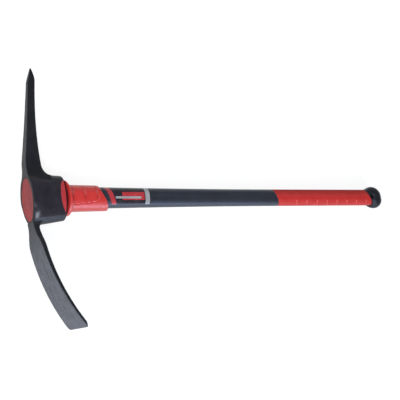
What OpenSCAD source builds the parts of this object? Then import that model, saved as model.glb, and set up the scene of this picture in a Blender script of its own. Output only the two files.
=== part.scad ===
// Pick mattock with a forged head and a moulded fibreglass handle.
// It lies on its side: the handle runs along +X from the head, the pick points along +Y,
// the adze along -Y, and the plane through head and handle is level.
// The shapes are drawn about the handle's axis, with x = 0 at the crown of the eye.

/* [Overall] */
// Length of the tool from the crown of the eye to the end of the knob
overall_len = 914; // [840:1:1000]

/* [Pick] */
// Reach of the pick's point from the handle's axis
pick_reach = 261; // [225:1:300]
// Drop of the point below the crown, towards the handle
pick_drop = 30.5; // [24:0.5:34]
// Drop of the pick's outer face where the point starts
pick_sweep = 20.5; // [12:0.5:22]
// Depth of the pick at its root
pick_root_depth = 33; // [28:0.5:38]
// Depth of the pick where the point starts
pick_end_depth = 17; // [11:0.5:18]
// Hollow of the pick's inner edge, 1 for a straight edge
pick_hollow = 1.7; // [1:0.1:2.4]
// Width of the pick at its root
pick_root_w = 17; // [14:0.5:22]
// Width of the pick where the point starts
pick_end_w = 7; // [5:0.5:10]
// Length of the drawn point
pick_point_len = 28; // [20:1:40]
// Roundness of the point's inner edge, 1 for a straight edge
pick_point_round = 1.4; // [1:0.1:2]
// Width across the blunt tip
pick_tip_w = 2.4; // [1.5:0.1:4]
// Chamfer along the pick's long edges
pick_chamfer = 2; // [1:0.1:2.4]
// Radius of the fillet between the pick and the lug, on the handle side
pick_fillet = 23; // [20:1:36]
// Radius of the flare that widens the pick into the lug
pick_flare = 62; // [40:1:80]
// Distance past the root fillet at which the pick's outer face bends down
pick_bend_past = 0; // [0:1:24]
// Softness of that bend
pick_bend_r = 4; // [4:1:20]

/* [Adze] */
// Reach of the cutting edge from the handle's axis
adze_reach = 259; // [225:1:290]
// Drop of the cutting edge below the crown, towards the handle
adze_drop = 91.5; // [60:1:110]
// Width of the blade at the cutting edge
adze_edge_w = 80; // [72:1:110]
// Width of the blade at its shoulders
adze_shoulder_w = 58; // [44:1:68]
// Width of the neck where the blade leaves the lug
adze_neck_w = 27; // [20:0.5:32]
// Length from the neck to the blade's shoulders
adze_neck_len = 46; // [34:1:64]
// Distance from the handle's axis at which the crown starts to curve down into the blade
adze_bend_at = 10; // [0:0.5:24]
// Thickness of the blade at the neck
adze_neck_t = 13; // [10:0.5:17]
// Thickness of the blade where the ground bevel starts
adze_end_t = 5.6; // [4:0.1:7]
// Length of the ground bevel
adze_bevel_len = 8; // [5:0.5:24]
// Thickness of the cutting edge
adze_edge_t = 2; // [0.6:0.1:2.4]
// Radius of the two corners of the cutting edge
adze_corner_r = 7; // [3:0.5:9]
// Chamfer along the blade's side edges
adze_chamfer = 0.5; // [0.2:0.05:0.55]
// Radius of the fillet between the blade and the lug, on the handle side
adze_fillet = 16; // [10:1:20]

/* [Eye] */
// Slope of the crown towards the adze, in degrees
crown_lean = 1.4; // [0:0.1:2.4]
// Length of the oval eye at the crown, along the head
eye_len = 90; // [80:0.5:92]
// Width of the oval eye at the crown
eye_w = 51; // [46:0.5:56]
// How far the oval draws in on each side over the depth of the eye
eye_draft = 7.5; // [6:0.1:9]
// Offset of the eye from the handle's axis, towards the pick when positive
eye_offset = -4; // [-6:0.5:0]
// How far the eye's centre moves towards the pick over its depth
eye_lean = 3.2; // [0:0.1:4.4]
// Depth of the lug along the handle
lug_depth = 79.5; // [70:0.5:92]
// Wall of the lug beside the eye
lug_wall = 4.5; // [4:0.5:8]
// Wall of the lug at the two ends of the eye
lug_end_wall = 7; // [5:0.5:9]
// How far the lug's outside draws in over its depth
lug_draft = 7; // [3:0.1:7.4]
// Radius of the round at the lug's lower rim
lug_round = 4; // [2:0.5:4.5]
// Chamfer round the crown and along the pick's outer face
crown_edge = 0.75; // [0.4:0.05:1.2]
// Thickness of the adhesive between the plug and the eye
bond_t = 1; // [0.6:0.1:1.6]
// Solid end of the plug over the core
plug_end = 7; // [4:0.5:12]

/* [Core] */
// Height of the fibreglass core, in the plane of the head
core_h = 25; // [20:0.5:28]
// Wall between the core's end and the hang hole
core_stop = 12; // [6:0.5:20]

/* [Handle] */
// Width of the flat on each side of the handle's section
side_flat = 8; // [5:0.5:10]
// Height of the handle beside the head
shaft_h = 46; // [43:0.5:48]
// Height of the handle at the grip
grip_h = 36.8; // [35:0.2:40]
// Length of the soft grip
grip_len = 271; // [220:1:330]
// Wall of the soft grip
grip_wall = 2.6; // [2:0.1:3]
// Clearance between moulded pieces
fit_gap = 0.1; // [0.05:0.01:0.2]
// Radius of the curved ends of the grip
end_curve_r = 65; // [50:1:100]
// Offset of that curve's centre, towards the pick
end_curve_y = 21; // [10:0.5:24]

/* [Grip notches] */
// Number of notches on each side of the grip
notch_count = 8; // [4:1:10]
// Distance from the grip's front edge to the first notch
notch_lead = 62; // [40:1:90]
// Distance from the last notch to the grip's rear edge
notch_tail = 4; // [3:0.5:30]
// Width of a notch
notch_w = 2.4; // [1.5:0.1:4]
// Depth of a notch
notch_depth = 1; // [0.6:0.1:1.3]
// Turn of the notches from the side of the handle, towards the adze
notch_turn = 38; // [30:1:45]

/* [End cap] */
// Height of the knob
knob_h = 50.5; // [46:0.5:56]
// Length of the knob's flare, from the grip to its rim
knob_flare = 25; // [22:1:34]
// Length of the knob's round end
knob_dome = 22; // [16:1:26]
// Length of the cap's socket under the grip
cap_socket = 32; // [24:1:44]
// Diameter of the hang hole
hang_d = 8.5; // [6:0.5:10]
// Distance of the hang hole from the knob's rim, towards the head
hang_at = 14; // [10:0.5:16]

/* [Guard] */
// Wall of the guard's sleeve on the pick side
guard_wall = 3.3; // [2.6:0.1:6]
// Offset of the guard's outside towards the adze, which thickens the wall there
guard_sag = 1; // [0:0.1:1.6]
// Height of the flange above the sleeve
flange_rise = 9; // [7:0.5:12]
// Length of the flange at the handle's axis
flange_len = 5.5; // [5:0.5:10]
// Lean of the flange, in degrees, which makes it longer on the adze side
flange_lean = 5; // [0:0.5:5]
// Chamfer of the flange's edges
flange_edge = 2.2; // [1:0.1:2.6]
// Radius of the hollow between the flange and the sleeve
flange_hollow = 3.5; // [2:0.5:4]
// Distance of the guard's end from the lug, on the pick side
guard_len = 75.5; // [60:0.5:100]
// Radius of the curve that cuts the guard's end
guard_curve_r = 80; // [64:1:120]
// Offset of that curve's centre, towards the pick
guard_curve_y = 26; // [16:1:28]
// Number of ring grooves on the guard
ring_count = 3; // [0:1:3]
// Distance from the flange to the first ring groove
ring_lead = 6.5; // [5:0.5:10]
// Distance between ring grooves
ring_pitch = 27; // [10:1:29]
// Width of the guard's grooves
groove_w = 2.4; // [1.5:0.1:3.5]
// Depth of the guard's grooves
groove_depth = 0.9; // [0.6:0.1:1.6]
// Length of the side grooves
side_groove_len = 52; // [24:1:60]
// Height of a side groove's front end below the axis, towards the adze
side_groove_front = 16; // [12:0.5:18]
// Height of a side groove's rear end below the axis, towards the adze
side_groove_rear = 11; // [8:0.5:18]

/* [Hidden] */
$fn = 96;

oval_sides = 64;
pick_steps = 12;
point_steps = 5;
fillet_steps = 6;
crown_steps = 6;
adze_steps = 14;
neck_steps = 9;
corner_steps = 4;
taper_steps = 10;
guard_steps = 3;
knob_steps = 8;
far = 200;
cut_past = 10;
// Depth to which the hollow behind the flange runs into the sleeve
hollow_sink = 1;
// Degrees through which the root fillet and the blade's corners turn
fillet_turn = 80;
corner_turn = 85;

// The pieces along the handle's axis
flat_half = side_flat / 2;
jacket_start = lug_depth + fit_gap;
knob_rim = overall_len - knob_dome;
grip_rear = knob_rim - knob_flare;
grip_front = grip_rear - grip_len;
cap_start = grip_rear - cap_socket;
hang_x = knob_rim - hang_at;
core_start = plug_end + fit_gap;
core_end = hang_x - hang_d / 2 - core_stop;
guard_end = lug_depth + guard_len;

// The tool's box about the handle's axis, and its place in the part's frame
lug_half_w = eye_w / 2 + lug_wall;
half_thick = max(adze_edge_w / 2, lug_half_w);
frame_shift = [-overall_len / 2, (adze_reach - pick_reach) / 2, half_thick];

steel = [0.17, 0.17, 0.19];
red = [0.75, 0.16, 0.14];
slate = [0.2, 0.21, 0.26];
black = [0.13, 0.13, 0.15];
resin = [0.24, 0.22, 0.2];
glass_fibre = [0.83, 0.78, 0.6];

function mix(a, b, u) = a + (b - a) * u;
function ease(u) = u <= 0 ? 0 : u >= 1 ? 1 : u * u * (3 - 2 * u);
// Rise of a fillet of radius r at distance d past its start
function fillet(d, r) = d <= 0 ? 0 : r - sqrt(max(0, r * r - min(d, r) * min(d, r)));

// A closed solid through a list of rings that have the same number of points
module skin(rings) {
  n = len(rings[0]);
  last = len(rings) - 1;
  sides = [for (i = [0:last - 1], j = [0:n - 1])
    let (a = i * n + j, b = i * n + (j + 1) % n)
    each [[a, b + n, b], [a, a + n, b + n]]];
  ends = [[for (j = [0:n - 1]) j], [for (j = [n - 1:-1:0]) last * n + j]];
  polyhedron([for (ring = rings) each ring], concat(sides, ends), convexity = 8);
}

// Section of a forged bar as [depth, width] points: depth t, half width w, outer and inner chamfers
function bar_section(t, w, outer, inner) = [
  [0, w - outer], [outer, w], [t - inner, w], [t, w - inner],
  [t, inner - w], [t - inner, -w], [outer, -w], [0, outer - w]];

// Ends of the lug: on the pick side at the crown and at its lower rim, and on the adze side
lug_half_len = eye_len / 2 + lug_end_wall;
lug_pick_end = lug_half_len + eye_offset;
lug_pick_low = lug_pick_end + eye_lean - lug_draft;
lug_adze_end = lug_half_len - eye_offset;

// The crown's slope, which ends where the pick leaves its root fillet
function crown_slope(y) = tan(crown_lean) * max(0, pick_fillet_at - y);

// Pick: sections across y, from inside the lug to the point
pick_point_at = pick_reach - pick_point_len;
pick_fillet_at = lug_pick_low + pick_fillet;
pick_bend_at = pick_fillet_at + pick_bend_past;
// The flare starts this share of its radius before the lug's end, and stops this share past it
flare_before = 0.39;
flare_past = 0.18;
pick_flare_at = lug_pick_end + flare_before * pick_flare;
pick_start = min(lug_pick_low, lug_pick_end - flare_past * pick_flare);
// Most of the half width that the web's chamfer may take
web_share = 0.75;
tip_chamfer = pick_tip_w / 4;
function pick_share(y) = min(1, max(0, (y - pick_fillet_at) / (pick_point_at - pick_fillet_at)));
function pick_bend(d) = d <= 0 ? 0 : sqrt(d * d + pick_bend_r * pick_bend_r) - pick_bend_r;
function pick_outer(y) = crown_slope(y)
  + pick_sweep * pick_bend(y - pick_bend_at) / pick_bend(pick_point_at - pick_bend_at);
function pick_rise(y) = fillet(pick_fillet_at - y, pick_fillet);
function pick_depth(y) = mix(pick_end_depth, pick_root_depth, pow(1 - pick_share(y), pick_hollow))
  + pick_rise(y);
function pick_half_w(y) = mix(pick_root_w, pick_end_w, pick_share(y)) / 2
  + fillet(pick_flare_at - y, pick_flare);
function pick_inner_chamfer(y) = min(pick_chamfer + pick_rise(y) / 2, web_share * pick_half_w(y));
function pick_ring(y) = [
  for (p = bar_section(pick_depth(y), pick_half_w(y), crown_edge, pick_inner_chamfer(y)))
    [pick_outer(y) + p[0], y, p[1]]];
// Ring of the drawn point, from its start at u = 0 to the tip at u = 1
function pick_point_ring(u) = let (
    v = pow(u, pick_point_round),
    inner = mix(pick_inner_chamfer(pick_point_at), tip_chamfer, v),
    tip_outer = pick_drop - pick_tip_w / 2)
  [for (p = bar_section(mix(pick_end_depth, pick_tip_w, v), mix(pick_end_w, pick_tip_w, v) / 2,
      mix(crown_edge, tip_chamfer, v), inner))
    [mix(pick_sweep, tip_outer, u) + p[0], mix(pick_point_at, pick_reach, u), p[1]]];

module pick() {
  root = [for (i = [fillet_steps:-1:1]) pick_fillet_at - pick_fillet * sin(i * fillet_turn / fillet_steps)];
  bar = [for (i = [0:pick_steps]) mix(pick_fillet_at, pick_point_at, i / pick_steps)];
  point = [for (i = [1:point_steps]) pick_point_ring(i / point_steps)];
  skin(concat([for (y = concat([pick_start], root, bar)) pick_ring(y)], point));
}

// Adze: sections square to an arc that leaves the crown along its slope and reaches the cutting edge
adze_start = eye_len / 2 - eye_offset + bond_t;
adze_neck_at = lug_adze_end;
adze_shoulder_at = adze_neck_at + adze_neck_len;
adze_from = [crown_slope(-adze_bend_at), -adze_bend_at];
adze_run = [adze_drop, -adze_reach] - adze_from;
crown_normal = [cos(crown_lean), sin(crown_lean)];
adze_arc_r = (adze_run * adze_run) / (2 * adze_run * crown_normal);
adze_centre = adze_from + adze_arc_r * crown_normal;
function adze_angle(reach) = asin((reach + adze_centre[1]) / adze_arc_r);
adze_bevel_at = adze_reach - adze_bevel_len;
adze_corner_at = adze_reach - adze_corner_r;
function adze_blade_w(reach) = mix(adze_shoulder_w, adze_edge_w,
  (min(reach, adze_corner_at) - adze_shoulder_at) / (adze_corner_at - adze_shoulder_at));
function adze_half_w(reach) = (reach < adze_shoulder_at
  ? mix(adze_neck_w, adze_shoulder_w, ease((reach - adze_neck_at) / (adze_shoulder_at - adze_neck_at)))
  : adze_blade_w(reach)) / 2
  + fillet(adze_neck_at - reach, adze_fillet)
  - fillet(reach - adze_corner_at, adze_corner_r);
function adze_thick(reach) = reach > adze_bevel_at
  ? mix(adze_end_t, adze_edge_t, (reach - adze_bevel_at) / adze_bevel_len)
  : mix(adze_neck_t, adze_end_t, sqrt(max(0, reach - adze_neck_at) / (adze_bevel_at - adze_neck_at)))
    + fillet(adze_neck_at + adze_fillet / 2 - reach, adze_fillet);
function adze_ring(reach) = let (a = adze_angle(reach), c = min(adze_chamfer, adze_thick(reach) / 3))
  [for (p = bar_section(adze_thick(reach), adze_half_w(reach), c, c))
    [adze_centre[0] - (adze_arc_r - p[0]) * cos(a), adze_centre[1] - (adze_arc_r - p[0]) * sin(a), -p[1]]];

module adze() {
  neck = [for (i = [0:neck_steps - 1]) mix(adze_start, adze_shoulder_at, i / neck_steps)];
  blade_end = min(adze_bevel_at, adze_corner_at);
  blade = [for (i = [0:adze_steps - 1]) mix(adze_shoulder_at, blade_end, i / adze_steps)];
  bevel = blade_end < adze_corner_at ? [blade_end, mix(blade_end, adze_corner_at, 0.5)] : [];
  corner = [for (i = [0:corner_steps])
    adze_corner_at + adze_corner_r * sin(i * corner_turn / corner_steps) / sin(corner_turn)];
  skin([for (reach = concat(neck, blade, bevel, corner)) adze_ring(reach)]);
}

// An oval across the handle at x, with half length a along the head and half width b
function oval(x, a, b) = [for (i = [0:oval_sides - 1]) let (t = 360 * i / oval_sides)
  [x, eye_offset + eye_lean * x / lug_depth + a * cos(t), b * sin(t)]];
// The eye's own oval at x, drawn in by inset
function eye_oval(x, inset) = let (d = inset + eye_draft * x / lug_depth)
  oval(x, eye_len / 2 - d, eye_w / 2 - d);
function lug_oval(x, inset) = let (d = inset + lug_draft * x / lug_depth)
  oval(x, lug_half_len - d, lug_half_w - d);

// The crown's outline, from the slope beside the pick down into the blade: it stands a hair proud of both
crown_step = 0.1;
function crown(y) = (y > -adze_bend_at ? crown_slope(y)
  : adze_centre[0] - adze_arc_r * cos(adze_angle(-y))) - crown_step;
function crown_ring(x, inset) = [for (p = lug_oval(0, inset)) [crown(p[1]) + x, p[1], p[2]]];

module under_crown() {
  curve = [for (i = [0:crown_steps]) let (y = -mix(adze_bend_at, lug_adze_end, i / crown_steps))
    [crown(y), y]];
  linear_extrude(far, center = true)
    polygon(concat([[crown(lug_pick_end), lug_pick_end]], curve,
      [[far, -lug_adze_end], [far, lug_pick_end]]));
}

module lug() {
  in_eye = lug_end_wall + bond_t;
  top = [lug_oval(lug_depth / 2, 2 * in_eye), crown_ring(0, in_eye), crown_ring(0, crown_edge),
    crown_ring(crown_edge, 0)];
  rim = [for (i = [0:fillet_steps]) let (t = 90 * i / fillet_steps)
    lug_oval(lug_depth - lug_round * (1 - sin(t)), lug_round * (1 - cos(t)))];
  skin(concat(top, rim));
}

// The tapered oval block that fills the eye, drawn in by inset, with its ends moved out by past
module eye_block(inset, past = 0) {
  ends = past > 0 ? [-past, 0, lug_depth, lug_depth + past] : [0, lug_depth];
  skin([for (x = ends) eye_oval(x, inset)]);
}

// A bar with two round sides and two flats, from [x, half height] points along the handle
module bar(outline) {
  edge = [for (p = outline) [p[0], p[1] - flat_half]];
  ends = [edge[len(edge) - 1][0], edge[0][0]];
  turned = concat([for (p = edge) [p[1], p[0]]], [for (x = ends) [0, x]]);
  mirrored = concat(edge, [for (i = [len(edge) - 1:-1:0]) [edge[i][0], -edge[i][1]]]);
  for (side = [0, 1])
    mirror([0, side, 0])
      translate([0, flat_half, 0])
        rotate([0, 90, 0])
          rotate_extrude(angle = 180)
            polygon(turned);
  rotate([90, 0, 0])
    linear_extrude(side_flat, center = true)
      polygon(mirrored);
}

module straight_bar(x0, x1, half) {
  bar([[x0, half], [x1, half]]);
}

// Everything past a curved end: an arc whose foremost point lies at x, extruded across the handle
module past_curve(x, r, y) {
  linear_extrude(far, center = true)
    translate([x + r, 0]) {
      translate([0, y])
        circle(r);
      translate([0, -far / 2])
        square([overall_len, far]);
    }
}

module past_end_curve(x) {
  past_curve(x, end_curve_r, end_curve_y);
}

// The handle's whole outside, from the head to the knob's round end
function shaft_half(x) = grip_h / 2
  + (shaft_h - grip_h) / 2 * pow(max(0, grip_front - x) / (grip_front - jacket_start), 2);
function flare_half(u) = mix(grip_h / 2, knob_h / 2, ease(u));
knob_half = knob_h / 2;

module handle_outside() {
  taper = [for (i = [0:taper_steps]) let (x = mix(jacket_start, grip_front, i / taper_steps))
    [x, shaft_half(x)]];
  flare = [for (i = [0:knob_steps]) let (u = i / knob_steps)
    [mix(grip_rear, knob_rim, u), flare_half(u)]];
  dome = [for (i = [1:knob_steps]) let (t = 90 * i / knob_steps)
    [knob_rim + knob_dome * sin(t), flat_half + (knob_half - flat_half) * max(0, cos(t))]];
  bar(concat(taper, flare, dome));
}

recess_half = grip_h / 2 - grip_wall;

module core_hole() {
  straight_bar(core_start - fit_gap, core_end + fit_gap, core_h / 2 + fit_gap);
}

module in_frame(tint) {
  color(tint)
    translate(frame_shift)
      children();
}

module head() {
  in_frame(steel)
    difference() {
      union() {
        lug();
        pick();
        adze();
      }
      eye_block(0, cut_past);
    }
}

module eye_bond() {
  in_frame(resin)
    intersection() {
      difference() {
        eye_block(0);
        eye_block(bond_t, cut_past);
      }
      under_crown();
    }
}

module eye_plug() {
  in_frame(red)
    intersection() {
      difference() {
        eye_block(bond_t);
        core_hole();
      }
      under_crown();
    }
}

module core_rod() {
  in_frame(glass_fibre)
    straight_bar(core_start, core_end, core_h / 2);
}

module shaft_jacket() {
  in_frame(slate)
    difference() {
      handle_outside();
      core_hole();
      translate([cap_start, -far / 2, -far / 2])
        cube([overall_len, far, far]);
      difference() {
        past_end_curve(grip_front - fit_gap);
        straight_bar(0, overall_len, recess_half);
      }
    }
}

module grip() {
  notch_pitch = (grip_rear - notch_tail - grip_front - notch_lead) / (notch_count - 1);
  notch_floor = grip_h / 2 - flat_half - notch_depth;
  in_frame(red)
    difference() {
      intersection() {
        handle_outside();
        past_end_curve(grip_front);
      }
      past_end_curve(grip_rear);
      straight_bar(0, overall_len, recess_half + fit_gap);
      for (side = [0, 1], i = [0:notch_count - 1])
        mirror([0, 0, side])
          translate([grip_front + notch_lead + i * notch_pitch, -flat_half, 0])
            rotate([notch_turn, 0, 0])
              translate([-notch_w / 2, -grip_h / 2, notch_floor])
                cube([notch_w, grip_h, grip_h]);
    }
}

module end_cap() {
  in_frame(black)
    difference() {
      intersection() {
        handle_outside();
        union() {
          past_end_curve(grip_rear + fit_gap);
          straight_bar(cap_start + fit_gap, knob_rim, recess_half);
        }
      }
      core_hole();
      translate([hang_x, 0, 0])
        cylinder(d = hang_d, h = far, center = true);
    }
}

// A straight round-bottomed groove cut between two points
module groove(from, to) {
  run = to - from;
  length = norm(run);
  translate(from)
    rotate([0, acos(run[2] / length), atan2(run[1], run[0])])
      cylinder(d = groove_w, h = length);
}

// The guard's sleeve follows the handle's taper, and its outside lies off the axis
guard_tail = guard_end + guard_curve_r;
flange_end = jacket_start + flange_len;
sleeve_at = flange_end + flange_hollow;
function guard_inner(x) = shaft_half(x) + fit_gap;
function guard_outer(x) = guard_inner(x) + guard_wall + guard_sag;
// A groove's centre on the guard's side, at x along the handle and y across it
function guard_side(x, y) = let (r = guard_outer(x) - flat_half)
  [x, y, sqrt(r * r - pow(max(0, abs(y + guard_sag) - flat_half), 2)) + groove_w / 2 - groove_depth];

module flange() {
  half = guard_outer(jacket_start) + flange_rise;
  foot = guard_outer(sleeve_at) - hollow_sink;
  rim = [[-flange_len, half], [flange_len - flange_edge, half], [flange_len, half - flange_edge]];
  hollow = [for (i = [0:fillet_steps]) let (t = 90 * i / fillet_steps)
    [flange_len + flange_hollow * (1 - cos(t)), foot + flange_hollow * (1 - sin(t))]];
  intersection() {
    translate([jacket_start, 0, 0])
      rotate([0, 0, flange_lean])
        bar(concat(rim, hollow));
    translate([jacket_start, -far / 2, -far / 2])
      cube(far);
  }
}

module guard() {
  run = [for (i = [0:guard_steps]) mix(jacket_start, guard_tail, i / guard_steps)];
  in_frame(red)
    difference() {
      translate([0, -guard_sag, 0]) {
        bar([for (x = run) [x, guard_outer(x)]]);
        flange();
      }
      past_curve(guard_end, guard_curve_r, guard_curve_y);
      bar([for (x = concat([lug_depth], run)) [x, guard_inner(x)]]);
      for (i = [0:1:ring_count - 1])
        ring_groove(flange_end + ring_lead + i * ring_pitch);
      for (side = [0, 1])
        mirror([0, 0, side])
          groove(guard_side(sleeve_at, -side_groove_front),
            guard_side(sleeve_at + side_groove_len, -side_groove_rear));
    }
}

// A groove across the pick side of the guard, centred at x
module ring_groove(x) {
  translate([0, -guard_sag, 0])
    intersection() {
      translate([x - groove_w / 2, -flat_half, -far / 2])
        cube([groove_w, far, far]);
      difference() {
        straight_bar(x - groove_w, x + groove_w, guard_outer(x) + groove_w);
        straight_bar(x - 2 * groove_w, x + 2 * groove_w, guard_outer(x) - groove_depth);
      }
    }
}

head();
eye_plug();
eye_bond();
core_rod();
guard();
shaft_jacket();
grip();
end_cap();
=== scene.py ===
"""Dresses the pick mattock: forged head, moulded handle, films, floor, light and camera."""
import logging
import math
from dataclasses import dataclass, replace
from enum import Enum
from functools import cached_property
from typing import Any

import bmesh
import bpy
import numpy as np
from bpy.types import Material, Mesh, Node, NodeSocket, NodeTree, Object
from mathutils import Matrix, Vector, noise
from mathutils.bvhtree import BVHTree


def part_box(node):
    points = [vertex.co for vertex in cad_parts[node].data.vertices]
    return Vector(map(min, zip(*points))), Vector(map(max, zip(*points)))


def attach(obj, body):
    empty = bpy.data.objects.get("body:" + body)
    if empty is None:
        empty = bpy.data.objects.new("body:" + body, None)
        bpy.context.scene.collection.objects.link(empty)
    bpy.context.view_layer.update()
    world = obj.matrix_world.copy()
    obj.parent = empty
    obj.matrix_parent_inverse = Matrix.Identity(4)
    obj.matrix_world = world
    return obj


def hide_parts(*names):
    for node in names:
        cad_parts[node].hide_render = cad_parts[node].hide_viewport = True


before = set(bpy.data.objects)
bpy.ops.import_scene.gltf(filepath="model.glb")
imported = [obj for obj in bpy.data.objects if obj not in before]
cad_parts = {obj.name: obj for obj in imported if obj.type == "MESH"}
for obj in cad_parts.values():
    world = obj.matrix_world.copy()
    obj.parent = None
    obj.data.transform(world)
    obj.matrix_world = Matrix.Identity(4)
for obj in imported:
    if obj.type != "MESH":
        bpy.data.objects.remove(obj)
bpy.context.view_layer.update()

MM = 0.001
WELD = 1e-6
CREASE = 38.0
BODY = "root"
LOG = logging.getLogger("mattock")

Color = tuple[float, float, float, float]
Faces = list[tuple[int, ...]]


class Slot(Enum):
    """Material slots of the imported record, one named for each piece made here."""

    STEEL = "forged_steel"
    PLUG = "plug_red"
    RESIN = "adhesive"
    GUARD = "guard_red"
    JACKET = "jacket_slate"
    GRIP = "grip_red"
    CAP = "cap_black"


class Effect(Enum):
    """Shader node groups that more than one finish uses."""

    STREAKS = "lengthwise_streaks"
    MOTTLE = "mottling"
    GRAIN = "moulded_grain"
    WEAR = "edge_wear"
    LINES = "cross_lines"


def srgb(red: int, green: int, blue: int) -> Color:
    """Turns a colour as a screen shows it into the linear one that a shader takes.

    Args:
        red: Red from 0 to 255.
        green: Green from 0 to 255.
        blue: Blue from 0 to 255.

    Returns:
        The linear colour with full alpha.
    """
    def linear(value: int) -> float:
        """Undoes the screen curve of one channel."""
        share = value / 255
        return share / 12.92 if share <= 0.04045 else ((share + 0.055) / 1.055) ** 2.4
    return (linear(red), linear(green), linear(blue), 1.0)


def mix(first: Any, second: Any, share: Any) -> Any:
    """Goes from first to second by share."""
    return first + (second - first) * share


def ease(share: Any) -> Any:
    """Smooth step from 0 to 1."""
    held = np.clip(share, 0.0, 1.0)
    return held * held * (3 - 2 * held)


def fillet(past: Any, radius: float) -> Any:
    """Rise of a fillet of that radius at a distance past its start."""
    held = np.clip(past, 0.0, radius)
    return radius - np.sqrt(radius * radius - held * held)


@dataclass(frozen=True)
class Datum:
    """Where the crown and the handle's axis lie in the frame, in metres."""

    crown_x: float
    axis_y: float
    axis_z: float

    @classmethod
    def from_frame(cls) -> "Datum":
        """Reads the datum from the CAD head and core."""
        low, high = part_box("core_rod")
        return cls(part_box("head")[0].x, (low.y + high.y) / 2, (low.z + high.z) / 2)

    def place(self, points: Any) -> np.ndarray:
        """Moves points in mm, with x from the crown along the handle's axis, into the frame in metres."""
        return np.asarray(points, float) * MM + (self.crown_x, self.axis_y, self.axis_z)

    def own(self, points: Any) -> np.ndarray:
        """Moves points in the frame back to mm about the handle's axis."""
        return (np.asarray(points, float) - (self.crown_x, self.axis_y, self.axis_z)) / MM


def tube_faces(rows: int, columns: int, wrap: bool, capped: bool) -> Faces:
    """Lists the faces of rows of points that each close on themselves.

    Args:
        rows: Number of rows.
        columns: Number of points in a row.
        wrap: Whether the last row joins the first.
        capped: Whether the first and last rows are filled.

    Returns:
        The faces as tuples of point numbers.
    """
    faces: Faces = []
    for i in range(rows if wrap else rows - 1):
        near, far = i * columns, (i + 1) % rows * columns
        for j in range(columns):
            k = (j + 1) % columns
            faces.append((near + j, near + k, far + k, far + j))
    if capped:
        faces.append(tuple(range(columns)))
        faces.append(tuple(range((rows - 1) * columns, rows * columns)))
    return faces


@dataclass(frozen=True)
class Workshop:
    """Turns rows of points into pieces of the tool that ride with it."""

    datum: Datum

    def solid(self, name: str, points: np.ndarray, faces: Faces) -> Object:
        """Makes one object from points and faces.

        Args:
            name: The object's name.
            points: Points in mm about the handle's axis.
            faces: Faces as tuples of point numbers.

        Returns:
            The linked object.
        """
        mesh = bpy.data.meshes.new(name)
        mesh.from_pydata(self.datum.place(points.reshape(-1, 3)).tolist(), [], faces)
        body = bmesh.new()
        body.from_mesh(mesh)
        bmesh.ops.remove_doubles(body, verts=body.verts, dist=WELD)
        bmesh.ops.dissolve_degenerate(body, edges=body.edges, dist=WELD)
        bmesh.ops.recalc_face_normals(body, faces=body.faces)
        body.to_mesh(mesh)
        body.free()
        return self.hold(name, mesh)

    def hold(self, name: str, mesh: Mesh, crease: float = CREASE) -> Object:
        """Puts a mesh into an object with smooth shading.

        Args:
            name: The object's name.
            mesh: The mesh to hold.
            crease: Angle in degrees over which an edge stays sharp.

        Returns:
            The linked object.
        """
        mesh.shade_smooth()
        mesh.set_sharp_from_angle(angle=math.radians(crease))
        piece = bpy.data.objects.new(name, mesh)
        bpy.context.scene.collection.objects.link(piece)
        return piece

    def loft(self, name: str, rows: list[np.ndarray], wrap: bool = False, capped: bool = False) -> Object:
        """Skins rows of points in mm into one object, as a closed ring of rows or with filled ends."""
        grid = np.stack(rows)
        return self.solid(name, grid, tube_faces(len(rows), grid.shape[1], wrap, capped))

    def sheet(self, name: str, top: np.ndarray, under: np.ndarray) -> Object:
        """Makes a thin closed sheet between two grids of points.

        Args:
            name: The object's name.
            top: Grid of points on the sheet's face, in mm.
            under: Grid of the same shape on its back.

        Returns:
            The linked object.
        """
        rows, columns = top.shape[:2]
        count = rows * columns
        index = np.arange(count).reshape(rows, columns)
        faces: Faces = []
        for i in range(rows - 1):
            for j in range(columns - 1):
                quad = (index[i, j], index[i, j + 1], index[i + 1, j + 1], index[i + 1, j])
                faces.append(tuple(int(k) for k in quad))
                faces.append(tuple(int(k) + count for k in reversed(quad)))
        rim = [*index[0, :-1], *index[:-1, -1], *index[-1, :0:-1], *index[:0:-1, 0]]
        for here, there in zip(rim, rim[1:] + rim[:1]):
            faces.append((int(here), int(here) + count, int(there) + count, int(there)))
        return self.solid(name, np.concatenate([top.reshape(-1, 3), under.reshape(-1, 3)]), faces)

    def shaped(self, piece: Object) -> Mesh:
        """Gives the mesh that a piece's modifiers make."""
        graph = bpy.context.evaluated_depsgraph_get()
        return bpy.data.meshes.new_from_object(piece.evaluated_get(graph))

    def cut(self, piece: Object, tool: Object, crease: float = CREASE) -> Object:
        """Cuts one object out of another and puts both away.

        Args:
            piece: The object to cut.
            tool: The closed object that is taken out.
            crease: Angle in degrees over which an edge stays sharp.

        Returns:
            A new object with the first one's name.
        """
        name = piece.name
        knife = piece.modifiers.new("cut", "BOOLEAN")
        knife.operation = "DIFFERENCE"
        knife.solver = "MANIFOLD"
        knife.object = tool
        mesh = self.shaped(piece)
        self.discard(piece)
        self.discard(tool)
        mesh.name = name
        return self.hold(name, mesh, crease)

    def discard(self, piece: Object) -> None:
        """Removes an object and its mesh.

        Args:
            piece: The object to remove.
        """
        mesh = piece.data
        bpy.data.objects.remove(piece)
        bpy.data.meshes.remove(mesh)

    def finish(self, piece: Object, material: Material, slot: Slot, *nodes: str) -> None:
        """Dresses a piece, lets it ride on the tool and hides the CAD nodes that it stands for.

        Args:
            piece: The finished object.
            material: Its material.
            slot: The record's slot for its finish; not used.
            nodes: CAD nodes that the piece replaces.
        """
        piece.data.materials.clear()
        piece.data.materials.append(material)
        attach(piece, BODY)
        if nodes:
            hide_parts(*nodes)
        LOG.info("%s: %d points, %d faces", piece.name, len(piece.data.vertices), len(piece.data.polygons))


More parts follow.
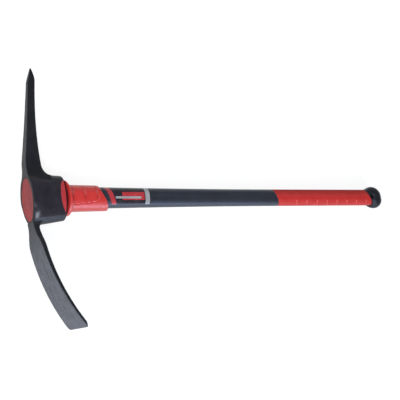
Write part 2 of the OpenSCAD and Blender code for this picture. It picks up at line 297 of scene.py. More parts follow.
class Graph:
    """Adds nodes to a node tree and links them."""

    def __init__(self, tree: NodeTree) -> None:
        """Holds the tree that the nodes go into."""
        self.tree = tree

    def add(self, kind: str, inputs: dict[Any, Any] | None = None, **settings: Any) -> Node:
        """Adds one node.

        Args:
            kind: The node's type.
            inputs: Values or sockets for its inputs, by name or number.
            settings: The node's own settings.

        Returns:
            The new node.
        """
        node = self.tree.nodes.new(kind)
        for key, value in settings.items():
            setattr(node, key, value)
        for key, value in (inputs or {}).items():
            if isinstance(value, NodeSocket):
                self.tree.links.new(value, node.inputs[key])
            else:
                node.inputs[key].default_value = value
        return node

    def blend(self, share: NodeSocket, first: Any, second: Any) -> NodeSocket:
        """Mixes two colours, or sockets of colours, by a mask from 0 to 1."""
        # The node's colours are its inputs 6 and 7 and its output 2
        node = self.add("ShaderNodeMix", {0: share, 6: first, 7: second}, data_type="RGBA")
        return node.outputs[2]

    def sums(self, operation: str, first: Any, second: Any) -> NodeSocket:
        """Works out one value from two."""
        return self.add("ShaderNodeMath", {0: first, 1: second}, operation=operation).outputs[0]

    def vectors(self, operation: str, first: Any, second: Any) -> Any:
        """Works on two vectors and gives the outputs."""
        return self.add("ShaderNodeVectorMath", {0: first, 1: second}, operation=operation).outputs

    def span(self, value: NodeSocket, source: tuple[Any, Any],
             target: tuple[float, float] = (0.0, 1.0)) -> NodeSocket:
        """Stretches a value from one range to another and holds it there.

        Args:
            value: The socket to stretch.
            source: The range that it comes from, as values or sockets.
            target: The range that it goes to.

        Returns:
            The stretched value's socket.
        """
        inputs = {"Value": value, "From Min": source[0], "From Max": source[1],
                  "To Min": target[0], "To Max": target[1]}
        return self.add("ShaderNodeMapRange", inputs).outputs[0]

    def bump(self, height: NodeSocket, strength: float, depth: float) -> NodeSocket:
        """Makes a normal from a height, where a height of 1 measures the depth in metres."""
        inputs = {"Height": height, "Strength": strength, "Distance": depth}
        return self.add("ShaderNodeBump", inputs).outputs["Normal"]

    def surface(self, inputs: dict[str, Any]) -> None:
        """Ends a material with its shader, whose inputs are values or sockets."""
        shader = self.add("ShaderNodeBsdfPrincipled", inputs)
        self.add("ShaderNodeOutputMaterial", {"Surface": shader.outputs[0]})


class Effects:
    """The shader node groups, a method for each effect, built once and placed in many materials."""

    noise_span: tuple[float, float] = (0.3, 0.7)
    streak_detail: float = 4.0
    cloud_detail: float = 6.0
    cloud_roughness: float = 0.62
    haze_detail: float = 3.0
    cell_share: float = 0.6
    wear_samples: int = 6
    wear_detail: float = 5.0
    wear_bend: tuple[float, float] = (0.995, 0.88)
    wear_breaks: tuple[float, float] = (0.42, 0.66)
    line_core: float = 0.4

    def start(self, effect: Effect, inputs: dict[str, Any], output: str) -> tuple[Graph, Any, Any]:
        """Starts a group with its sockets.

        Args:
            effect: Which group it is.
            inputs: Names of its inputs with their first values.
            output: Name of its output.

        Returns:
            The group's graph, its input node and its output node.
        """
        tree = bpy.data.node_groups.new(effect.value, "ShaderNodeTree")
        for name, value in inputs.items():
            kind = "NodeSocketVector" if isinstance(value, tuple) else "NodeSocketFloat"
            socket = tree.interface.new_socket(name=name, in_out="INPUT", socket_type=kind)
            socket.default_value = value
        tree.interface.new_socket(name=output, in_out="OUTPUT", socket_type="NodeSocketFloat")
        graph = Graph(tree)
        return graph, graph.add("NodeGroupInput"), graph.add("NodeGroupOutput")

    @cached_property
    def streaks(self) -> NodeTree:
        """Fine streaks that run where the frequency is low.

        Returns:
            The node group.
        """
        graph, given, result = self.start(Effect.STREAKS, {"Frequency": (10.0, 10.0, 600.0)}, "Mask")
        place = graph.add("ShaderNodeTexCoord").outputs["Object"]
        scaled = graph.vectors("MULTIPLY", place, given.outputs["Frequency"])[0]
        threads = graph.add("ShaderNodeTexNoise", {"Vector": scaled, "Scale": 1.0,
                                                   "Detail": self.streak_detail})
        graph.tree.links.new(graph.span(threads.outputs[0], self.noise_span), result.inputs["Mask"])
        return graph.tree

    @cached_property
    def mottle(self) -> NodeTree:
        """Cloudy variation from patches down to specks.

        Returns:
            The node group.
        """
        graph, given, result = self.start(Effect.MOTTLE, {"Frequency": 60.0}, "Mask")
        place = graph.add("ShaderNodeTexCoord").outputs["Object"]
        cloud = graph.add("ShaderNodeTexNoise", {
            "Vector": place, "Scale": given.outputs["Frequency"],
            "Detail": self.cloud_detail, "Roughness": self.cloud_roughness})
        graph.tree.links.new(graph.span(cloud.outputs[0], self.noise_span), result.inputs["Mask"])
        return graph.tree

    @cached_property
    def grain(self) -> NodeTree:
        """Fine pebbled skin of a moulded piece.

        Returns:
            The node group.
        """
        graph, given, result = self.start(Effect.GRAIN, {"Frequency": 1400.0}, "Height")
        place = graph.add("ShaderNodeTexCoord").outputs["Object"]
        cells = graph.add("ShaderNodeTexVoronoi", {"Vector": place, "Scale": given.outputs["Frequency"]},
                          feature="SMOOTH_F1")
        haze = graph.add("ShaderNodeTexNoise", {"Vector": place, "Scale": given.outputs["Frequency"],
                                                "Detail": self.haze_detail})
        height = graph.sums("ADD", graph.sums("MULTIPLY", cells.outputs["Distance"], self.cell_share),
                            graph.sums("MULTIPLY", haze.outputs[0], 1 - self.cell_share))
        graph.tree.links.new(height, result.inputs["Height"])
        return graph.tree

    @cached_property
    def wear(self) -> NodeTree:
        """Broken mask along the arrises, for rubbed finish and, on the guard, also for painted highlights.

        Returns:
            The node group.
        """
        graph, given, result = self.start(Effect.WEAR, {"Radius": 0.0015, "Breakup": 180.0}, "Mask")
        soft = graph.add("ShaderNodeBevel", {"Radius": given.outputs["Radius"]}, samples=self.wear_samples)
        facing = graph.add("ShaderNodeNewGeometry").outputs["Normal"]
        same = graph.vectors("DOT_PRODUCT", soft.outputs[0], facing)["Value"]
        place = graph.add("ShaderNodeTexCoord").outputs["Object"]
        patches = graph.add("ShaderNodeTexNoise", {"Vector": place, "Scale": given.outputs["Breakup"],
                                                   "Detail": self.wear_detail})
        edge = graph.span(same, self.wear_bend)
        broken = graph.span(patches.outputs[0], self.wear_breaks)
        graph.tree.links.new(graph.sums("MULTIPLY", edge, broken), result.inputs["Mask"])
        return graph.tree

    @cached_property
    def lines(self) -> NodeTree:
        """Evenly pitched cross lines between two places along x and two heights.

        Returns:
            The node group.
        """
        names = ("First", "Last", "Pitch", "Half", "Top", "Low", "Slant")
        graph, given, result = self.start(Effect.LINES, {name: 0.1 for name in names}, "Mask")
        first, last, pitch, half, top, low, slant = (given.outputs[name] for name in names)
        place = graph.add("ShaderNodeTexCoord").outputs["Object"]
        parts = graph.add("ShaderNodeSeparateXYZ", {0: place}).outputs
        along = graph.sums("ADD", parts["X"], graph.sums("MULTIPLY", parts["Y"], slant))
        middle, quarter = graph.sums("MULTIPLY", pitch, 0.5), graph.sums("MULTIPLY", pitch, 0.25)
        within = graph.sums("MODULO", graph.sums("ADD", graph.sums("SUBTRACT", along, first), middle), pitch)
        gap = graph.sums("ABSOLUTE", graph.sums("SUBTRACT", within, middle), 0.0)
        edge = graph.sums("MULTIPLY", half, 2.0)
        mask = graph.span(gap, (half, graph.sums("MULTIPLY", half, self.line_core)))
        out_front, in_front = (graph.sums("SUBTRACT", first, by) for by in (middle, quarter))
        out_rear, in_rear = (graph.sums("ADD", last, by) for by in (middle, quarter))
        for value, start, end in ((along, out_front, in_front), (along, out_rear, in_rear),
                                  (parts["Y"], graph.sums("ADD", top, edge), top),
                                  (parts["Y"], graph.sums("SUBTRACT", low, edge), low)):
            mask = graph.sums("MULTIPLY", mask, graph.span(value, (start, end)))
        graph.tree.links.new(mask, result.inputs["Mask"])
        return graph.tree

    def place(self, graph: Graph, effect: Effect, inputs: dict[str, Any]) -> NodeSocket:
        """Places a group in a material.

        Args:
            graph: The material's graph.
            effect: Which group to place.
            inputs: The group's values there.

        Returns:
            The group's output.
        """
        node = graph.add("ShaderNodeGroup", node_tree=getattr(self, effect.name.lower()))
        for name, value in inputs.items():
            node.inputs[name].default_value = value
        return node.outputs[0]


def new_material(name: str) -> tuple[Material, Graph]:
    """Starts a material without nodes.

    Args:
        name: The material's name.

    Returns:
        The material and its graph.
    """
    material = bpy.data.materials.new(name)
    material.use_nodes = True
    material.node_tree.nodes.clear()
    return material, Graph(material.node_tree)


@dataclass(frozen=True)
class LineMarks:
    """Places of evenly pitched cross lines, in metres in the frame."""

    first: float = 0.0
    last: float = 0.0
    pitch: float = 1.0
    half: float = 0.0
    top: float = 0.0
    low: float = 0.0
    slant: float = 0.0

    def place(self, effects: Effects, graph: Graph) -> NodeSocket:
        """Places the lines' mask in a material.

        Args:
            effects: The shared node groups.
            graph: The material's graph.

        Returns:
            The mask's socket.
        """
        return effects.place(graph, Effect.LINES, {
            "First": self.first, "Last": self.last, "Pitch": self.pitch, "Half": self.half,
            "Top": self.top, "Low": self.low, "Slant": self.slant})


@dataclass(frozen=True)
class ForgedLacquer:
    """Dark lacquer on forged steel, ground along the blade's outer face and rubbed on its arrises."""

    name: str = "forged_lacquer"
    dark: Color = srgb(20, 20, 23)
    light: Color = srgb(34, 34, 38)
    ground_dark: Color = srgb(48, 50, 59)
    ground_light: Color = srgb(112, 115, 127)
    wear_and_highlight: Color = srgb(96, 98, 105)
    roughness: tuple[float, float] = (0.30, 0.46)
    tint: Color = (0.86, 0.92, 1.0, 1.0)
    streak_frequency: tuple[float, float, float] = (8.0, 8.0, 210.0)
    patch_frequency: float = 70.0
    gloss: float = 0.3
    ground_span: tuple[float, float] = (-0.045, -0.13)
    outward: tuple[float, float] = (-0.45, -0.75)
    wear_radius: float = 0.0012
    wear_share: float = 0.4
    uneven: float = 0.0004
    uneven_share: float = 0.25
    ior: float = 1.5

    def material(self, effects: Effects) -> Material:
        """Builds the material.

        Args:
            effects: The shared node groups.

        Returns:
            The material.
        """
        material, graph = new_material(self.name)
        streaks = effects.place(graph, Effect.STREAKS, {"Frequency": self.streak_frequency})
        patches = effects.place(graph, Effect.MOTTLE, {"Frequency": self.patch_frequency})
        wear = effects.place(graph, Effect.WEAR, {"Radius": self.wear_radius})
        both = graph.sums("MULTIPLY", graph.sums("ADD", streaks, patches), 0.5)
        place = graph.add("ShaderNodeTexCoord")
        along = graph.add("ShaderNodeSeparateXYZ", {0: place.outputs["Object"]}).outputs["Y"]
        facing = graph.add("ShaderNodeSeparateXYZ", {0: place.outputs["Normal"]}).outputs["X"]
        ground = graph.sums("MULTIPLY", graph.span(along, self.ground_span),
                            graph.span(facing, self.outward))
        lacquered = graph.blend(both, self.dark, self.light)
        painted = graph.blend(ground, lacquered, graph.blend(both, self.ground_dark, self.ground_light))
        faint = graph.sums("MULTIPLY", wear, self.wear_share)
        graph.surface({
            "Base Color": graph.blend(faint, painted, self.wear_and_highlight),
            "Roughness": graph.span(both, (0.0, 1.0), self.roughness),
            "Normal": graph.bump(both, self.uneven_share, self.uneven),
            "Specular Tint": self.tint, "Specular IOR Level": self.gloss, "IOR": self.ior})
        return material


@dataclass(frozen=True)
class MouldedPlastic:
    """Satin moulded plastic with a fine skin, flow streaks and slight patches."""

    name: str
    dark: Color
    light: Color
    roughness: tuple[float, float]
    streak_frequency: tuple[float, float, float] = (8.0, 260.0, 260.0)
    streak_share: float = 0.5
    patch_frequency: float = 45.0
    grain_frequency: float = 1500.0
    grain_depth: float = 0.00006
    grain_strength: float = 0.35
    wear_radius: float = 0.0010
    wear_share: float = 0.35
    # Colour on the wear mask: wear, and on the guard also painted highlights along its convex edges
    wear_and_highlight: Color = srgb(226, 122, 116)
    tint: Color = (1.0, 1.0, 1.0, 1.0)
    gloss: float = 0.5
    ior: float = 1.48

    def material(self, effects: Effects) -> Material:
        """Builds the material.

        Args:
            effects: The shared node groups.

        Returns:
            The material.
        """
        material, graph = new_material(self.name)
        streaks = effects.place(graph, Effect.STREAKS, {"Frequency": self.streak_frequency})
        patches = effects.place(graph, Effect.MOTTLE, {"Frequency": self.patch_frequency})
        grain = effects.place(graph, Effect.GRAIN, {"Frequency": self.grain_frequency})
        wear = effects.place(graph, Effect.WEAR, {"Radius": self.wear_radius})
        shade = graph.sums("ADD", graph.sums("MULTIPLY", streaks, self.streak_share),
                           graph.sums("MULTIPLY", patches, 1 - self.streak_share))
        color = graph.blend(shade, self.dark, self.light)
        # Wear on the arrises, which on the guard also serves as painted highlights
        faint = graph.sums("MULTIPLY", wear, self.wear_share)
        worn_and_lit = graph.blend(faint, color, self.wear_and_highlight)
        graph.surface({
            "Base Color": self.mark(effects, graph, worn_and_lit),
            "Roughness": graph.span(shade, (0.0, 1.0), self.roughness),
            "Normal": graph.bump(grain, self.grain_strength, self.grain_depth),
            "Specular Tint": self.tint, "Specular IOR Level": self.gloss, "IOR": self.ior})
        return material

    def mark(self, effects: Effects, graph: Graph, color: NodeSocket) -> NodeSocket:
        """Gives the colour unmarked; a finish with marks adds them here."""
        return color


@dataclass(frozen=True)
class GuardPlastic(MouldedPlastic):
    """Moulded plastic with painted shade in its ring grooves and on its front face."""

    marks: LineMarks = LineMarks()
    # Colours of painted shade: in the upper half of the ring grooves, and on the flange's front face in the
    # gap behind the lug
    groove_shade: Color = srgb(146, 18, 20)
    groove_shade_share: float = 0.7
    front: Color = srgb(132, 34, 40)
    front_shade_span: tuple[float, float] = (-0.45, -0.85)
    front_shade_center: tuple[float, float, float] = (0.0, 0.0, 0.0)
    front_shade_radius: tuple[float, float] = (1.0, 1.0)

    def mark(self, effects: Effects, graph: Graph, color: NodeSocket) -> NodeSocket:
        """Paints shade into the ring grooves and onto the front face.

        Args:
            effects: The shared node groups.
            graph: The material's graph.
            color: The colour without marks.

        Returns:
            The marked colour's socket.
        """
        # Painted shade in the ring grooves, then on the front face that looks into the gap behind the lug
        lined = graph.sums("MULTIPLY", self.marks.place(effects, graph), self.groove_shade_share)
        groove_shaded = graph.blend(lined, color, self.groove_shade)
        place = graph.add("ShaderNodeTexCoord")
        facing = graph.add("ShaderNodeSeparateXYZ", {0: place.outputs["Normal"]}).outputs["X"]
        off = graph.vectors("SUBTRACT", place.outputs["Object"], self.front_shade_center)[0]
        across = graph.vectors("MULTIPLY", off, (0.0, 1.0, 1.0))[0]
        reach = graph.add("ShaderNodeVectorMath", {0: across}, operation="LENGTH").outputs["Value"]
        inside = graph.sums("MULTIPLY", graph.span(facing, self.front_shade_span),
                            graph.span(reach, self.front_shade_radius))
        return graph.blend(inside, groove_shaded, self.front)


@dataclass(frozen=True)
class SoftRubber:
    """Matte soft rubber, pebbled and darker with painted shade above a line along its side, with painted
    highlights on the notches below.
    """

    name: str
    lower: Color
    # The upper colours are darker than the lower ones as painted shade on the half that faces away from the
    # lamps
    lower_light: Color
    shaded_upper: Color
    shaded_upper_light: Color
    # Colour of the painted highlights on the notches
    wear_and_highlight: Color
    highlight_span: tuple[float, float] = (0.5, 0.9)
    line_y: float = 0.0
    line_half: float = 0.0012
    marks: LineMarks = LineMarks()
    gloss: float = 0.3
    ior: float = 1.45
    roughness: tuple[float, float] = (0.46, 0.68)
    patch_frequency: float = 60.0
    grain_frequency: float = 1100.0
    grain_depth: float = 0.00012
    grain_strength: float = 0.5
    grain_span: tuple[float, float] = (0.35, 1.0)

    def material(self, effects: Effects) -> Material:
        """Builds the material.

        Args:
            effects: The shared node groups.

        Returns:
            The material.
        """
        material, graph = new_material(self.name)
        patches = effects.place(graph, Effect.MOTTLE, {"Frequency": self.patch_frequency})
        grain = effects.place(graph, Effect.GRAIN, {"Frequency": self.grain_frequency})
        place = graph.add("ShaderNodeTexCoord").outputs["Object"]
        across = graph.add("ShaderNodeSeparateXYZ", {0: place}).outputs["Y"]
        panel = graph.span(across, (self.line_y - self.line_half, self.line_y + self.line_half))
        # Painted highlights on the notches, broken up by the patches
        broken = graph.span(patches, (0.0, 1.0), self.highlight_span)
        notches = graph.sums("MULTIPLY", self.marks.place(effects, graph), broken)
        smooth = graph.blend(notches, graph.blend(patches, self.lower, self.lower_light), self.wear_and_highlight)
        # Painted shade: the upper half takes the darker colours
        shaded_upper_tone = graph.blend(patches, self.shaded_upper, self.shaded_upper_light)
        height = graph.sums("MULTIPLY", grain, graph.span(panel, (0.0, 1.0), self.grain_span))
        graph.surface({
            "Base Color": graph.blend(panel, smooth, shaded_upper_tone),
            "Roughness": graph.span(panel, (0.0, 1.0), self.roughness),
            "Normal": graph.bump(height, self.grain_strength, self.grain_depth),
            "Specular IOR Level": self.gloss, "IOR": self.ior})
        return material


@dataclass(frozen=True)
class GlossFilm:
    """Thin printed film with a clear coat and slight ripples."""

    name: str
    dark: Color
    light: Color
    roughness: tuple[float, float] = (0.18, 0.3)
    gloss: float = 0.5
    ior: float = 1.5
    coat: float = 0.1
    coat_roughness: float = 0.1
    ripple_frequency: float = 40.0
    ripple_depth: float = 0.0002
    ripple_share: float = 0.12

    def material(self, effects: Effects) -> Material:
        """Builds the material.

        Args:
            effects: The shared node groups.

        Returns:
            The material.
        """
        material, graph = new_material(self.name)
        ripples = effects.place(graph, Effect.MOTTLE, {"Frequency": self.ripple_frequency})
        graph.surface({
            "Base Color": graph.blend(ripples, self.dark, self.light),
            "Roughness": graph.span(ripples, (0.0, 1.0), self.roughness),
            "Normal": graph.bump(ripples, self.ripple_share, self.ripple_depth),
            "Specular IOR Level": self.gloss, "IOR": self.ior,
            "Coat Weight": self.coat, "Coat Roughness": self.coat_roughness})
        return material


@dataclass(frozen=True)
class Finishes:
    """All finishes of the tool."""

    lacquer: ForgedLacquer = ForgedLacquer()
    plug: MouldedPlastic = MouldedPlastic(
        "plug_red_plastic", srgb(104, 29, 32), srgb(176, 70, 73), (0.5, 0.66),
        streak_frequency=(14.0, 14.0, 240.0), streak_share=0.7, grain_strength=0.25, gloss=0.45)
    # The guard's higher wear share and light wear colour paint highlights on its convex edges, the flange
    # rim and the panel's lip, as well as wear
    guard: GuardPlastic = GuardPlastic(
        "guard_red_plastic", srgb(182, 42, 40), srgb(196, 52, 50), (0.3, 0.42), streak_share=0.3,
        wear_share=0.6, wear_and_highlight=srgb(232, 128, 120), gloss=0.8)
    # The grip's upper colours are darker as painted shade, and its last colour paints the notch highlights
    rubber: SoftRubber = SoftRubber(
        "grip_red_rubber", srgb(178, 43, 41), srgb(190, 50, 47), srgb(166, 42, 40), srgb(177, 49, 46),
        srgb(226, 118, 110))
    jacket: MouldedPlastic = MouldedPlastic(
        "jacket_slate_plastic", srgb(37, 38, 44), srgb(47, 48, 56), (0.34, 0.46),
        wear_and_highlight=srgb(110, 112, 122), tint=(0.66, 0.78, 1.0, 1.0), gloss=0.6)
    cap: MouldedPlastic = MouldedPlastic(
        "cap_black_plastic", srgb(28, 28, 32), srgb(40, 40, 45), (0.3, 0.42),
        wear_and_highlight=srgb(96, 96, 104), tint=(0.8, 0.88, 1.0, 1.0), gloss=0.2)
    resin: MouldedPlastic = MouldedPlastic(
        "bond_resin", srgb(30, 20, 22), srgb(46, 34, 35), (0.5, 0.65), wear_and_highlight=srgb(64, 50, 50), gloss=0.3)
    fibre: MouldedPlastic = MouldedPlastic(
        "core_fibreglass", srgb(196, 184, 140), srgb(222, 212, 172), (0.4, 0.55),
        streak_frequency=(6.0, 500.0, 500.0), streak_share=0.85, wear_and_highlight=srgb(235, 228, 200))
    film: GlossFilm = GlossFilm("film_dark", srgb(34, 32, 38), srgb(46, 43, 50), gloss=0.24)
    stripe: GlossFilm = GlossFilm("film_red", srgb(160, 47, 53), srgb(174, 57, 62))
    pale: GlossFilm = GlossFilm("film_pale", srgb(138, 139, 142), srgb(160, 161, 164))


@dataclass(frozen=True)
class EyeOval:
    """The tapered oval eye in the lug, and the lug's outside, in mm."""

    length: float = 90.0
    width: float = 51.0
    draft: float = 7.5
    offset: float = -4.0
    lean: float = 3.2
    depth: float = 79.5
    side_wall: float = 4.5
    end_wall: float = 7.0
    lug_draft: float = 7.0
    rim_round: float = 4.0
    crown_edge: float = 0.75
    bond: float = 1.0
    slope: float = 1.4
    slope_from: float = 67.2
    bend_at: float = 10.0
    blade_drop: float = 91.5
    blade_reach: float = 259.0
    sides: int = 128

    def turns(self) -> np.ndarray:
        """Turn of each point round an oval, from the pick's side."""
        return np.linspace(0, 2 * np.pi, self.sides, endpoint=False)

    def ring(self, x: Any, half_length: float, half_width: float) -> np.ndarray:
        """Gives an oval across the handle.

        Args:
            x: Distance of the oval, or of each of its points, from the crown.
            half_length: Half of its length along the head.
            half_width: Half of its width.

        Returns:
            The oval's points.
        """
        turn = self.turns()
        along = np.broadcast_to(x, turn.shape)
        middle = self.offset + self.lean * along / self.depth
        return np.stack([along, middle + half_length * np.cos(turn), half_width * np.sin(turn)], -1)

    def eye(self, x: Any, inset: float = 0.0) -> np.ndarray:
        """Gives the eye's own oval at x, drawn in by inset."""
        inward = inset + self.draft * np.mean(x) / self.depth
        return self.ring(x, self.length / 2 - inward, self.width / 2 - inward)

    def lug(self, x: float, inset: float = 0.0) -> np.ndarray:
        """Gives the lug's outside.

        Args:
            x: Distance from the crown.
            inset: How far it is drawn in.

        Returns:
            The oval's points.
        """
        inward = inset + self.lug_draft * x / self.depth
        half_length = self.length / 2 + self.end_wall
        return self.ring(x, half_length - inward, self.width / 2 + self.side_wall - inward)

    def lug_point(self, x: np.ndarray, turn: np.ndarray) -> np.ndarray:
        """Gives points on the lug's outside.

        Args:
            x: Distances from the crown.
            turn: Turns round the oval, in degrees from the pick's side.

        Returns:
            The points, with the shape of x and a last axis of 3.
        """
        angle = np.radians(turn)
        inward = self.lug_draft * x / self.depth
        middle = self.offset + self.lean * x / self.depth
        half_length = self.length / 2 + self.end_wall - inward
        half_width = self.width / 2 + self.side_wall - inward
        return np.stack([x, middle + half_length * np.cos(angle), half_width * np.sin(angle)], -1)

    def fall(self, y: Any) -> Any:
        """Fall of the crown's slope at y, from where the pick leaves its root fillet."""
        return math.tan(math.radians(self.slope)) * np.maximum(0.0, self.slope_from - y)

    @cached_property
    def arc(self) -> tuple[float, np.ndarray]:
        """The arc from the crown's slope to the cutting edge.

        Returns:
            Its radius and its centre as x and y.
        """
        lean = math.radians(self.slope)
        away = np.array([math.cos(lean), math.sin(lean)])
        start = np.array([float(self.fall(-self.bend_at)), -self.bend_at])
        run = np.array([self.blade_drop, -self.blade_reach]) - start
        radius = float(run @ run / (2 * run @ away))
        return radius, start + radius * away

    def arc_angle(self, reach: Any) -> Any:
        """Angle on the blade's arc at a reach from the handle's axis."""
        radius, centre = self.arc
        return np.arcsin((reach + centre[1]) / radius)

    def crown(self, y: np.ndarray) -> np.ndarray:
        """Fall of the crown at y, along its slope and then down the blade's arc."""
        radius, centre = self.arc
        return np.where(y > -self.bend_at, self.fall(y), centre[0] - radius * np.cos(self.arc_angle(-y)))

    def on_crown(self, ring: np.ndarray, below: float = 0.0) -> np.ndarray:
        """Lays a ring on the crown.

        Args:
            ring: The ring's points.
            below: Its depth under the crown.

        Returns:
            The ring with each point moved along the handle.
        """
        laid = ring.copy()
        laid[:, 0] = self.crown(ring[:, 1]) + below
        return laid


@dataclass(frozen=True)
class Pick:
    """The pointed arm of the head, in mm."""

    reach: float = 261.0
    drop: float = 30.5
    sweep: float = 20.5
    bow: float = 0.9
    root_depth: float = 34.0
    end_depth: float = 16.4
    hollow: float = 2.3
    root_w: float = 20.0
    end_w: float = 9.6
    point_len: float = 28.0
    point_round: float = 1.4
    tip_w: float = 2.4
    chamfer: float = 2.0
    fillet_r: float = 23.0
    flare: float = 62.0
    flare_at: float = 66.0
    start: float = 36.8
    lug_low: float = 44.2
    bend_r: float = 4.0
    web_share: float = 0.75
    steps: int = 150
    point_steps: int = 16

    def rows(self, eye: EyeOval) -> list[np.ndarray]:
        """Gives the sections from inside the lug to the point.

        Args:
            eye: The lug, whose crown the outer face leaves.

        Returns:
            Rows of points.
        """
        point_at = self.reach - self.point_len
        fillet_at = self.lug_low + self.fillet_r
        reach_bend = self.bend(point_at - fillet_at)
        across = [[1, 0, 0], [0, 0, 1]]
        rows = []
        for y in np.linspace(self.start, point_at, self.steps):
            share = float(np.clip((y - fillet_at) / (point_at - fillet_at), 0, 1))
            rise = fillet(fillet_at - y, self.fillet_r)
            depth = mix(self.end_depth, self.root_depth, (1 - share) ** self.hollow) + rise
            half = mix(self.root_w, self.end_w, share) / 2 + fillet(self.flare_at - y, self.flare)
            inner = min(self.chamfer + rise / 2, self.web_share * half)
            outer_x = eye.fall(y) + self.sweep * self.bend(y - fillet_at) / reach_bend
            outer_x += self.bow * 4 * share * (1 - share)
            rows.append(bar_section(depth, half, eye.crown_edge, inner) @ across + [outer_x, y, 0])
        blunt = self.tip_w / 4
        for share in np.linspace(0, 1, self.point_steps)[1:]:
            drawn = share ** self.point_round
            section = bar_section(
                mix(self.end_depth, self.tip_w, drawn), mix(self.end_w, self.tip_w, drawn) / 2,
                mix(eye.crown_edge, blunt, drawn), mix(self.chamfer, blunt, drawn))
            outer_x = mix(self.sweep, self.drop - self.tip_w / 2, share)
            rows.append(section @ across + [outer_x, mix(point_at, self.reach, share), 0])
        return rows

    def bend(self, past: float) -> float:
        """Soft bend of the outer face at a distance past its start."""
        return 0.0 if past <= 0 else math.hypot(past, self.bend_r) - self.bend_r


def bar_section(depth: float, half: float, outer: float, inner: float, steps: int = 5) -> np.ndarray:
    """Gives the section of a forged bar with rounded corners.

    Args:
        depth: Depth of the bar.
        half: Half of its width.
        outer: Round of the corners on the outer face.
        inner: Round of the corners on the inner face.
        steps: Points on each corner.

    Returns:
        Points as depth and width.
    """
    turn = np.linspace(0, np.pi / 2, steps)
    corners = [
        (outer - outer * np.cos(turn), half - outer + outer * np.sin(turn)),
        (depth - inner + inner * np.sin(turn), half - inner + inner * np.cos(turn)),
        (depth - inner + inner * np.cos(turn), inner - half - inner * np.sin(turn)),
        (outer - outer * np.sin(turn), outer - half - outer * np.cos(turn))]
    return np.concatenate([np.stack(corner, -1) for corner in corners])


@dataclass(frozen=True)
class Adze:
    """The curved blade of the head, in mm."""

    reach: float = 259.0
    edge_w: float = 80.0
    shoulder_w: float = 58.0
    neck_w: float = 27.0
    neck_at: float = 56.0
    neck_len: float = 46.0
    start: float = 50.0
    neck_t: float = 13.0
    end_t: float = 5.6
    bevel_len: float = 8.0
    edge_t: float = 2.0
    corner_r: float = 7.0
    chamfer: float = 0.5
    fillet_r: float = 16.0
    steps: int = 150
    corner_steps: int = 10
    corner_turn: float = 85.0

    def half_width(self, reach: float) -> float:
        """Gives half of the blade's width.

        Args:
            reach: Distance from the handle's axis.

        Returns:
            Half of the width there.
        """
        shoulder = self.neck_at + self.neck_len
        corner = self.reach - self.corner_r
        if reach < shoulder:
            width = mix(self.neck_w, self.shoulder_w, ease((reach - self.neck_at) / self.neck_len))
        else:
            width = mix(self.shoulder_w, self.edge_w, (min(reach, corner) - shoulder) / (corner - shoulder))
        root = fillet(self.neck_at - reach, self.fillet_r)
        return width / 2 + root - fillet(reach - corner, self.corner_r)

    def thickness(self, reach: float) -> float:
        """Gives the blade's thickness.

        Args:
            reach: Distance from the handle's axis.

        Returns:
            The thickness there.
        """
        bevel = self.reach - self.bevel_len
        if reach > bevel:
            return mix(self.end_t, self.edge_t, (reach - bevel) / self.bevel_len)
        share = math.sqrt(max(0.0, reach - self.neck_at) / (bevel - self.neck_at))
        root = fillet(self.neck_at + self.fillet_r / 2 - reach, self.fillet_r)
        return mix(self.neck_t, self.end_t, share) + root

    def rows(self, eye: EyeOval) -> list[np.ndarray]:
        """Gives the sections square to the blade's arc, from inside the lug to the edge.

        Args:
            eye: The lug, whose crown the arc leaves.

        Returns:
            Rows of points.
        """
        corner = self.reach - self.corner_r
        turn = np.radians(np.linspace(0, self.corner_turn, self.corner_steps + 1)[1:])
        ends = corner + self.corner_r * np.sin(turn) / math.sin(math.radians(self.corner_turn))
        radius, centre = eye.arc
        rows = []
        for reach in [*np.linspace(self.start, corner, self.steps), *ends]:
            angle = float(eye.arc_angle(reach))
            thick = self.thickness(reach)
            arris = min(self.chamfer, thick / 3)
            section = bar_section(thick, self.half_width(reach), arris, arris)
            inner_r = radius - section[:, 0]
            rows.append(np.stack([centre[0] - inner_r * math.cos(angle),
                                  centre[1] - inner_r * math.sin(angle), section[:, 1]], -1))
        return rows


